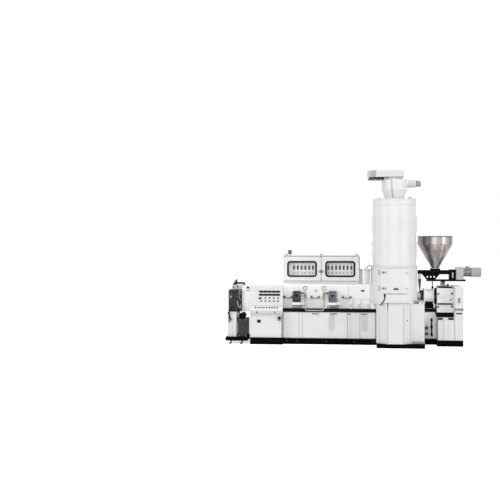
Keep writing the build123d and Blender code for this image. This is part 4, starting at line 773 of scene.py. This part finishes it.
def cabinet_details():
    """Fittings of the cabinet, its doors and controllers, the beacon and the vacuum pot."""
    for body, (x0, x1) in WINDOW_SPANS.items():
        beads = [(bead, x0, x1, 1518, 1840, 197, 46, 14), (bead, x0 - 15, x1 + 15, 1503, 1855, 199, 61, 10)]
        build(body + "_bead", RUBBER, beads, body)
    # A cable trunk at the cabinet's right edge, dark below and grey above, that also stands in for painted
    # shade of the gap there.
    build("cabinet_side_trunk_and_shade", CONE_STEEL, [block(99, 111, 236, 270, 1342, 1689, 2)])
    build("cabinet_side_trim_and_shade", GREY, [block(99, 111, 236, 270, 1689, 1965, 2)])
    # Painted shadow in the gap under the doors, as a grey strip on the shell.
    build("cabinet_door_painted_shadow", GREY, [block(-1654, 92, 226, 231, 1393, 1403, 1)])
    for name, x in (("left", -807), ("right", -755)):
        keys = [rod(9, 8, (x, 178, z), FRONT, 16) for z in (1604, 1636)]
        fasten("latch_keys_" + name, keys, name + "_door")
    strip = block(-779, -772, DOOR_FRONT - 1.5, DOOR_FRONT + 2, 1407, 1968, 0.8)
    build("door_meeting_strip", MOTOR, [strip], "right_door")
    for body, span in DOOR_SPANS.items():
        fasten(body + "_screws", grid(screw, span, [DOOR_FRONT], (1428, 1947), 5), body)
    seams = [block(x, x + 4, 647, 649.5, 830, 1960, 0.4) for x in (-1080, -500)]
    seams += [block(-1640, 78, 647, 649.5, 1400, 1404, 0.4)]
    build("cabinet_back_seams", GREY, seams)
    lines = [block(x, x + 3, PANEL_FACE - 1, PANEL_FACE + 1, 1450, 1910, 0.4) for x in (-1200, -420)]
    build("inner_panel_seams", GREY, lines)
    rows = ((1722, 1744), (1694, 1714))
    screens = [block(x - 17, x + 17, *CONTROLLER_Y, z0, z1, 1) for z0, z1 in rows for x in ZONE_X]
    build("controller_displays", SCREEN, screens)
    starts = [x + side for x in ZONE_X for side in (-15, -4, 7)]
    build("controller_keys", DARK, [block(x, x + 6, *CONTROLLER_Y, 1668, 1673, 0.8) for x in starts])
    build("zone_lamps", LAMP_GREEN, grid(screw, ZONE_X, [PANEL_FACE], [1560], 8))
    labels = []
    for half, z0, z1 in ((16, 1780, 1791), (14, 1575, 1581)):
        labels += [block(x - half, x + half, PANEL_FACE - 1.2, PANEL_FACE, z0, z1, 0.4) for x in ZONE_X]
    build("zone_labels", GREY, labels)
    build("beacon_ribs", RED, [ridge(44, 3, 4, (-1511, 310, z), 40) for z in range(2036, 2112, 12)])
    build("pot_pipe", GREY, [(tube, [(x, POT_Y, z) for x, z in POT_PIPE], 13)])
    fasten("pot_lid_clamps", [(ring_of, (235, POT_Y, 1674), UP, 114, 6, 9, 0.3)])


# Console and its instruments

COLUMN_X = [-2106 + 96 * step for step in range(5)]
DISPLAY_ROWS = (1181, 1110)
SWITCH_ROWS = (1038, 968)
LABEL_ROWS = (967, 1038, 1110, 1181, 1227)


def console_details():
    """Instruments and fittings of the console."""
    labels = [block(-2196, -2180, DESK_FACE - 4, DESK_FACE, z - 9, z + 9, 0.5) for z in LABEL_ROWS]
    labels += [block(x - 14, x + 14, DESK_FACE - 4, DESK_FACE, 1228, 1238, 0.5) for x in COLUMN_X]
    build("console_labels", LABEL, labels)
    knob = [(0, 0), (21, 0), (21, 14), (17, 22), (0, 22)]
    build("console_knob", PLASTIC, [(lathe, knob, (-2143, DESK_FACE, 1029), FRONT, 28)])
    spots = [(x, z) for x in COLUMN_X for z in DISPLAY_ROWS]
    displays = [block(x - 34, x + 34, -491.5, -489, z - 12, z + 13, 1) for x, z in spots]
    build("console_displays", SCREEN, displays)
    rim = [(15, 0), (20, 0), (20, 4), (15, 6), (15, 0)]
    rims = [(lathe, rim, (x, DESK_FACE, z), FRONT, 20) for x in COLUMN_X for z in SWITCH_ROWS]
    build("switch_rims", PIPE, rims)
    build("console_seams", GREY, [
        block(-2344, -1617, -483, -479, 866, 871, 0.5),
        block(-2344, -1632, -601.5, -599, 676, 683, 0.5),
    ])
    # Painted shade: a dark strip where the console's right side stands in shade beside the bench.
    build("console_gap_painted_shade", DARK, [block(-1631, -1615.5, -601.5, -599, 160, 684, 0.6)])
    for name, x0, x1, material in (("left", -2200, -2168, DARK), ("right", -1796, -1762, BLUED)):
        build("lip_switch_" + name, material, [block(x0, x1, LIP_FRONT - 4, LIP_FRONT, 706, 738, 2)])
    vent = [block(-2182, -2101, -620, CONSOLE_DOOR_Y, 488, 556, 4)]
    vent += louvres(-2174, -2109, -619, 497, 5, 11, 4)
    build("console_vent", PLASTIC, vent)
    corners = grid(screw, (-2312, -1650), [CONSOLE_DOOR_Y], (205, 620), 7)
    fasten("console_door_screws", corners)
    line = block(-2330, -1631, CONSOLE_DOOR_Y - 1, CONSOLE_DOOR_Y + 1, 622, 625, 0.4)
    build("console_door_line", GREY, [line])
    build("regulator_dial", PLASTIC, [(screw, (-1681, -678, 608), FRONT, 15)])


# Tower, drum and cyclone. An air fitting has a place, a foot and a radius

TOWER_CORNERS = ((520, -928), (701, -1096), (1034, -1096), (1193, -955))
AIR_FITTINGS = ((1264, 950, 11), (1304, 950, 7), (1346, 950, 7), (1396, 1000, 8), (1464, 1000, 12))
AIR_Y = -917
AIR_TOP = 1034


def tower_details():
    """Seams and fittings of the tower's base and the drum."""
    build("tower_seams", GREY, [rod(4, 842, (x, y, 98), UP, 8) for x, y in TOWER_CORNERS])
    entry = [(0, 0), (3, 0), (9, 150), (9, 194), (0, 194)]
    build("tower_cable_entry", PLASTIC, [(lathe, entry, (701, -1098, 785), UP, 12)])
    build("tower_lock", PLASTIC, [(screw, (1123, -1017, 592), (0.664, -0.747, 0), 13)])
    grille = frame_of(1231, 1481, 98, 144, -939, -935, 6) + louvres(1237, 1475, -935, 106, 4, 9, 3)
    build("tower_grille", MOTOR, grille)
    fittings = []
    for x, foot, radius in AIR_FITTINGS:
        top = AIR_TOP - foot
        neck = 0.6 * radius
        body = [(0, 0), (radius, 0), (radius, top - 16), (neck, top - 10), (neck, top), (0, top)]
        fittings.append((lathe, body, (x, AIR_Y, foot), UP, 12))
        fittings.append(rod(0.7 * radius, 14, (x, AIR_Y, 1016), FRONT, 10))
    build("air_fittings", MOTOR, fittings)
    build("air_rail", PIPE, [rod(5, 200, (1264, AIR_Y, 1012), RIGHT, 10)])
    elbow = [(1464, -920, 1008), (1466, -940, 996), (1450, -946, 968), (1430, -942, 956), (1417, -934, 953)]
    build("air_pipe", PIPE, [(tube, elbow, 5)])
    fasten("drum_flange_bolts", [(ring_of, (*DRUM, 1766), UP, 490, 28, 8, 0.05)])
    fasten("drum_roof_bolts", [(ring_of, (*DRUM, 3234), UP, 452, 20, 7, 0.05)])
    build("drum_welds", PALE, [(drum_arc, NECK_RADIUS - 1, NECK_RADIUS + 1.6, -180, 179.9, 3100, 3107, 72)])
    build("drum_foot_edge", GREY, [(drum_arc, 496, 499.5, -36, 36, 966, 982, 40)])
    covers = []
    for side in (-1, 1):
        rows = (DRUM[1] - 120, DRUM[1] + 120)
        covers += grid(screw, [DRUM[0] + side * 487], rows, (1990, 2272, 2535, 2827), 7, (side, 0, 0))
    fasten("side_cover_screws", covers)


def hatch_details():
    """Bolts, stops, painted shadow along the lower edge, and latch pin of the hatch."""
    heads = []
    for z in (1638, 1290):
        for degrees, radius in ((-29, 13), (-24, 8)):
            place, out = at_drum(degrees, 521, z)
            heads.append((bolt, place, out, radius))
    build("hatch_strap_bolts", DARK, heads, "hatch")
    stops = [(drum_arc, 512, 518, 24, 31, z - 6, z + 6, 6) for z in (1625, 1286)]
    build("hatch_stops", MOTOR, stops, "hatch")
    # Painted shadow: a grey arc along the hatch's lower edge.
    build("hatch_edge_painted_shadow", GREY, [(drum_arc, 511, 514.8, -25.5, 29.5, 1174, 1188, 30)], "hatch")
    place, out = at_drum(-4, 513, 1282)
    build("hatch_latch_pin", PLASTIC, [rod(11, 12, place, out, 16, 2)], "hatch")


def cyclone_details():
    """Bolts, clamp, welds, seams and painted shade lines of cyclone and duct."""
    fasten("cyclone_foot_bolts", [(ring_of, (*DRUM, 3240), UP, 215, 12, 7, 0.1)])
    clamp = hoop(62, 66, 18, (1376, DRUM[1], SPIGOT_Z), RIGHT, 36)
    fasten("spigot_clamp", [clamp, (bolt, (1385, -691, SPIGOT_Z), FRONT, 7)])
    # A dark seam along the spigot's top, which also stands in for painted shade there.
    strip = [block(1165, 1290, -655, -595, 3634, 3646, 3), block(1286, 1392, -650, -600, 3624, 3638, 3)]
    build("spigot_seam_and_shade", PLASTIC, strip)
    build("cyclone_welds", PALE, [ridge(272, 3, 6, (*DRUM, z), 72) for z in (3426, 3656)])
    flange = [(ring_of, (*EXHAUST, z), axis, 176, 12, 8, 0.1) for z, axis in ((3690, UP), (3668, DOWN))]
    fasten("exhaust_flange_bolts", flange)
    edges = grid(screw, range(560, 1060, 120), [-825], [3790], 6)
    build("duct_screws", PALE, edges)
    # Painted shadow: a dark strip along the underside of the duct's right part.
    build("duct_painted_shadow", MOTOR, [block(735, 1058, -827, -822, 3706, 3723, 1)])
    fold = [(798, -890, 3650), (798, -890, 3540), (800, -890, 3430), (812, -855, 3330), (830, -822, 3236)]
    build("cyclone_seam", GREY, [(tube, fold, 8)])


# Barrel, gearbox and drive

CONDUIT = ((1780, -120, 1232), (1792, -190, 1180), (1788, -205, 1060), (1796, -215, 930), (1786, -210, 800),
           (1790, -200, 700))
CLIPS = ((1788, -205, 1052), (1786, -210, 792))
FEED_CORNERS = (-155, 155)
GEARBOX_CORNERS = ((1842, 1145), (2139, 1151), (1842, 855), (2139, 858))
COVER_SPANS = ((1807, 1922), (1928, 2156))


def barrel_details():
    """Fittings of the barrel, feed housing and service sheet."""
    rings = [(ring_of, (1480, 0, BARREL_Z), LEFT, 117, 8, 11, 0.2)]
    rings += [(ring_of, (1794, 0, BARREL_Z), LEFT, 168, 10, 11, 0.15)]
    build("barrel_bolts", DARK, rings)
    heights = [BARREL_Z + z for z in FEED_CORNERS]
    corners = grid(bolt, [1535], FEED_CORNERS, heights, 12, LEFT)
    corners += grid(bolt, [1760], FEED_CORNERS, heights, 12, RIGHT)
    fasten("feed_corner_bolts", corners)
    lift = [block(1719, 1760, -34, 34, 1236, 1300, 4), hoop(12, 24, 14, (1733, 0, 1312), RIGHT, 24)]
    build("feed_lifting_block", BLACK, lift)
    long_probe = [(0, 0), (10, 0), (10, 46), (15, 46), (15, 66), (0, 70)]
    short_probe = [(0, 0), (9, 0), (9, 40), (14, 40), (14, 56), (0, 60)]
    sensors = [(lathe, long_probe, (1462, -62, 1146), (0, -0.85, 0.5), 16)]
    sensors += [(lathe, short_probe, (1500, -122, z), FRONT, 14) for z in (1030, 1130)]
    build("barrel_sensors", PLASTIC, sensors)
    # The service sheet's whiter enamel is painted light over the shade of the tower.
    build("service_panel", ENAMEL_AND_LIGHT, [block(1496, 1797, SERVICE_FRONT, SERVICE_FRONT + 4, 150, 712)])
    fasten("service_panel_screws", grid(screw, (1510, 1783), [SERVICE_FRONT], (168, 430, 696), 7))
    build("lantern_conduit", RUBBER, [(tube, CONDUIT, 11)])
    fasten("conduit_clips", [hoop(10, 16, 16, place, UP, 16) for place in CLIPS])


def gearbox_details():
    """Fittings, strips, seams and painted shade of the gearbox and the drive."""
    build("gearbox_bolts", DARK, [(bolt, (x, GEARBOX_FRONT, z), FRONT, 17) for x, z in GEARBOX_CORNERS])
    glass = [(0, 0), (24, 0), (24, 10), (17, 12), (17, 6), (0, 6)]
    fasten("gearbox_sight", [(lathe, glass, (2110, GEARBOX_FRONT, 1010), FRONT, 24)])
    breather = [(0, 0), (18, 0), (18, 26), (30, 26), (30, 48), (22, 58), (0, 60)]
    build("gearbox_breather", DARK, [(lathe, breather, (2070, -120, GEARBOX_TOP), UP, 24)])
    cap = grid(bolt, (1880, 1940, 2040, 2100), [-245], [GEARBOX_TOP], 9, UP)
    cap += grid(bolt, (1880, 1990, 2100), [295], [GEARBOX_TOP], 9, UP)
    fasten("gearbox_cap_bolts", cap)
    ribs = [block(1834, 2147, -302, -299, z, z + 5, 0.8) for z in (1058, 1100)]
    ribs += grid(bolt, (1930, 2050), [GEARBOX_FRONT], (880, 950), 10)
    build("gearbox_ribs", WHITE, ribs)
    build("gearbox_edges", PLASTIC, [
        block(1836, 2140, -303, -298, 1272, 1299, 1),
        block(1840, 2147, -303, -298, 926, 936, 1),
    ])
    # Painted shade: a dark strip where the drive base's left side stands in shade.
    build("drive_side_painted_shade", PLASTIC, [block(1796, 1802, -591, -536, 118, 629, 1)])
    brackets = [block(x0, x1, -596, -580, 590, 629, 3) for x0, x1 in ((1801, 1911), (2032, 2148))]
    build("drive_brackets", BLACK, brackets)
    build("bed_edge_strip", PIPE, [block(1540, 1790, -150, -120, 800, 806)])
    build("leg_eye_plug", PLASTIC, [rod(19.5, 78, (LEG_X, 39, LEG_EYE_Z), FRONT, 28)])
    edges = [x for x0, x1 in COVER_SPANS for x in (x0 + 14, x1 - 14)]
    heads = grid(screw, edges, [DRIVE_FRONT], (166, 570), 7)
    heads += grid(screw, (2180, 2341), [DRIVE_FRONT], (166, 776, 856, 1274), 7)
    fasten("drive_screws", heads)
    # Painted shade: a dark band across the drive column where its covers meet in a recess.
    build("column_recess_painted_shade", MOTOR, [block(2162, 2359, DRIVE_FRONT - 5, DRIVE_FRONT + 2, 791, 838, 2)])
    slot = block(2198, 2326, DRIVE_FRONT - 5, DRIVE_FRONT, 712, 740, 4)
    build("column_slot", PLASTIC, [slot])
    ends = ((2040, 585), (2258, 793))
    seams = [block(x, x + 4, DRIVE_FRONT - 1, DRIVE_FRONT + 1, 152, z, 0.5) for x, z in ends]
    build("drive_seams", PALE, seams)


# Side feeder

FIN_COUNT = 28
MOTOR_END = 2805
GRILLE_RADII = (20, 38, 56, 74, 90)


def feeder_details():
    """Fittings of the feeder's drive, hopper and deck."""
    build("reducer_ribs", CASTING, [block(x, x + 6, -122, 122, 1476, 1739) for x in range(2262, 2416, 22)])
    fasten("reducer_bolts", grid(bolt, (2258, 2406), [-118], (1480, 1560, 1640, 1722), 9))
    fins = []
    for a in round_turn(FIN_COUNT):
        turn = Matrix.Translation((0, 0, FEEDER_Z)) @ Matrix.Rotation(a, 4, "X")
        fins.append((slab, (2442, -2, 80), (2584, 2, 95), 0.8, turn))
    build("motor_fins", GREY, fins)
    rings = [hoop(radius, radius + 5, 3, (MOTOR_END, 0, FEEDER_Z), RIGHT, 40) for radius in GRILLE_RADII]
    build("cowl_grille", PLASTIC, rings)
    lid = [block(2462, 2562, -50, 50, 1738, 1752, 3), rod(13, 26, (2512, -46, 1716), FRONT, 14, 4)]
    build("motor_box_lid", MOTOR, lid)
    build("coupling_window", PALE, [block(2167, 2200, -65, -61, 1490, 1614, 2)])
    build("coupling_window_rim", RUST_RED, frame_of(2163, 2204, 1486, 1618, -64, -61, 5))
    fasten("hopper_foot_bolts", grid(bolt, (HOPPER[0] - 76, HOPPER[0] + 76), (-76, 76), [1717], 8, UP))
    rim = [(384, 0), (391, 2), (393, 8), (392, 15), (386, 18), (380, 15), (380, 8), (384, 0)]
    build("hopper_rim", DARK, [(lathe, rim, (*HOPPER, 2412), UP, 96)])
    welds = [ridge(385, 2.5, 6, (*HOPPER, 2245), 96), ridge(84, 4, 6, (*HOPPER, 1722), 48)]
    build("hopper_welds", STAINLESS, welds)
    fasten("deck_screws", grid(screw, (1630, 1900, 2020, 2440), (-104, 104), [1456], 9, UP))
    fasten("spout_bolts", [(ring_of, (1454, 0, 1462), UP, 34, 6, 3, 0.2)])


# Screen changer and its stand

HOOK = ((-2660, -284, 953), (-2668, -290, 900), (-2645, -294, 840), (-2604, -290, 793), (-2596, -284, 850))
LEVER = ((-2850, -440, 716), (-2852, -468, 700), (-2842, -472, 655), (-2826, -474, 610), (-2798, -474, 550),
         (-2790, -474, 520))
CHANGER_X = -2731.5


def changer_details():
    """Fittings of the die hood, the changer and its stand."""
    knob = [(0, 0), (10, 0), (10, 18), (26, 18), (26, 44), (18, 50), (0, 50)]
    build("die_hood_knob", PLASTIC, [(lathe, knob, (-2439, DIE_HOOD_FRONT, 1262), FRONT, 24)])
    pull = [rod(12, 14, (x, DIE_HOOD_FRONT, 1190), FRONT, 16) for x in (-2480, -2420)]
    pull += [block(-2495, -2405, -219, -207, 1180, 1200, 4)]
    build("die_hood_pull", CASTING, pull)
    heads = grid(screw, (-2560, -2200, -1900, -1640), [DIE_HOOD_FRONT], (820, 1270), 6)
    fasten("die_hood_screws", heads)
    gauge = [(0, 0), (25, 0), (25, 12), (20, 16), (0, 16)]
    build("changer_gauge", DIAL, [(lathe, gauge, (-2819, CHANGER_FRONT, 1050), FRONT, 28)])
    fasten("changer_rod", [rod(9, 206, (-2625, -285, 999), UP, 16)])
    build("changer_hook", PALE, [(tube, HOOK, 8)])
    build("stand_lever", PLASTIC, [(tube, LEVER, 13)])
    bolts = grid(bolt, (-2868, -2596), [CHANGER_FRONT], (730, 860, 990, 1120, 1192), 10)
    bolts += grid(bolt, (CHANGER_X - 76, CHANGER_X + 76), [-312], (1048, 1112), 9)
    fasten("changer_bolts", bolts)
    ribs = [block(-2866, -2600, CHANGER_FRONT - 3, CHANGER_FRONT, z, z + 5, 1) for z in (800, 930, 1160)]
    build("changer_ribs", DARK, ribs)
    cheek = [(-2815, 1317), (-2722, 1317), (-2722, 1446), (-2731, 1446)]
    build("lug_cheek", DARK, [(flat_plate, cheek, -62, -50)])
    cap = [(0, 0), (15, 0), (15, 16), (11, 20), (0, 20)]
    caps = [(lathe, cap, (x, TERMINAL_FRONT, z), FRONT, 18) for x, z in ((-2696, 1272), (-2789, 1265))]
    build("terminal_knobs", PLASTIC, caps)
    seam = block(-2812, -2582, TERMINAL_FRONT - 1, TERMINAL_FRONT + 1, 1238, 1241, 0.4)
    build("terminal_seam", GREY, [seam])
    build("pillar_seams", GREY, [block(-2758, -2754, STAND_FRONT - 1.5, STAND_FRONT + 1, 165, 703, 0.5)])
    filler = [(0, 0), (30, 0), (30, 22), (24, 30), (0, 30)]
    build("tank_filler", DARK, [(lathe, filler, (-2610, -390, 557), UP, 24)])
    build("tank_level", MOTOR, [block(-2652, -2632, STAND_FRONT - 6, STAND_FRONT, 240, 480, 3)])
    fasten("tank_bolts", grid(bolt, (-2600, -2460), [STAND_FRONT], (180, 535), 8))
    fasten("stand_bolts", grid(bolt, (-2892, -2430), (-520, 262), [157], 12, UP))


# Stage: floor, background, lamps and camera

def seen_directly(tree):
    """Whether a surface is seen by the camera, in a reflection or through glass."""
    path = add_node(tree, "ShaderNodeLightPath")
    seen = path.outputs["Is Camera Ray"]
    for kind in ("Is Glossy Ray", "Is Transmission Ray"):
        both = {0: seen, 1: path.outputs[kind]}
        seen = add_node(tree, "ShaderNodeMath", both, operation="MAXIMUM").outputs["Value"]
    return seen


def floor_material():
    """Pale floor that shows white to the camera and keeps the shadow."""
    material, tree, _ = new_material("floor_white")
    seen = seen_directly(tree)
    tone = mix_colors(tree, seen, FLOOR_TONE, SEEN_TONE)
    diffuse = add_node(tree, "ShaderNodeBsdfDiffuse", {"Color": tone})
    glow = add_node(tree, "ShaderNodeEmission", {"Color": PURE_WHITE, "Strength": FLOOR_GLOW})
    both = add_node(tree, "ShaderNodeAddShader", {0: diffuse.outputs[0], 1: glow.outputs[0]})
    plain = add_node(tree, "ShaderNodeMixShader", {0: seen, 1: diffuse.outputs[0], 2: both.outputs[0]})
    fill(tree, tree.nodes["Material Output"], {"Surface": plain.outputs[0]})
    return material


def build_floor():
    """A wide pale floor under the part."""
    mesh = bpy.data.meshes.new("floor")
    corners = [(x * FLOOR_REACH, y * FLOOR_REACH, 0) for x, y in ((-1, -1), (1, -1), (1, 1), (-1, 1))]
    mesh.from_pydata(corners, [], [(0, 1, 2, 3)])
    mesh.materials.append(floor_material())
    add_object("floor", mesh)


def build_world():
    """Soft white light from all round, and a white background."""
    world = bpy.data.worlds.new("studio")
    bpy.context.scene.world = world
    world.use_nodes = True
    tree = world.node_tree
    sky = tree.nodes["Background"]
    fill(tree, sky, {"Color": PURE_WHITE, "Strength": SKY_STRENGTH})
    white = add_node(tree, "ShaderNodeBackground", {"Color": PURE_WHITE, "Strength": 1.0})
    seen = seen_directly(tree)
    mix = add_node(tree, "ShaderNodeMixShader", {0: seen, 1: sky.outputs[0], 2: white.outputs[0]})
    fill(tree, tree.nodes["World Output"], {"Surface": mix.outputs[0]})


def add_lamp(name, place, aim, width, height, power):
    """A soft rectangular lamp that points at a spot."""
    data = bpy.data.lights.new(name, "AREA")
    data.shape = "RECTANGLE"
    data.size = width
    data.size_y = height
    data.energy = power
    lamp = add_object(name, data)
    lamp.location = place
    lamp.rotation_euler = (Vector(aim) - Vector(place)).to_track_quat("-Z", "Y").to_euler()


def build_camera():
    """The camera at the photograph's stand point."""
    data = bpy.data.cameras.new("camera")
    data.lens = CAMERA_LENS
    data.sensor_width = SENSOR_WIDTH
    data.clip_end = SIGHT_END
    camera = add_object("camera", data)
    camera.location = CAMERA_PLACE
    camera.rotation_euler = (math.pi / 2, 0.0, CAMERA_TURN)
    bpy.context.scene.camera = camera


dress_nodes()
paint_nodes()
bench_details()
hood_details()
throat_details()
vent_details()
vacuum_details()
cabinet_details()
console_details()
tower_details()
hatch_details()
cyclone_details()
barrel_details()
gearbox_details()
feeder_details()
changer_details()
build_floor()
build_world()
for lamp_values in LAMPS:
    add_lamp(*lamp_values)
build_camera()

bpy.context.scene.view_settings.view_transform = "Standard"
bpy.context.view_layer.update()
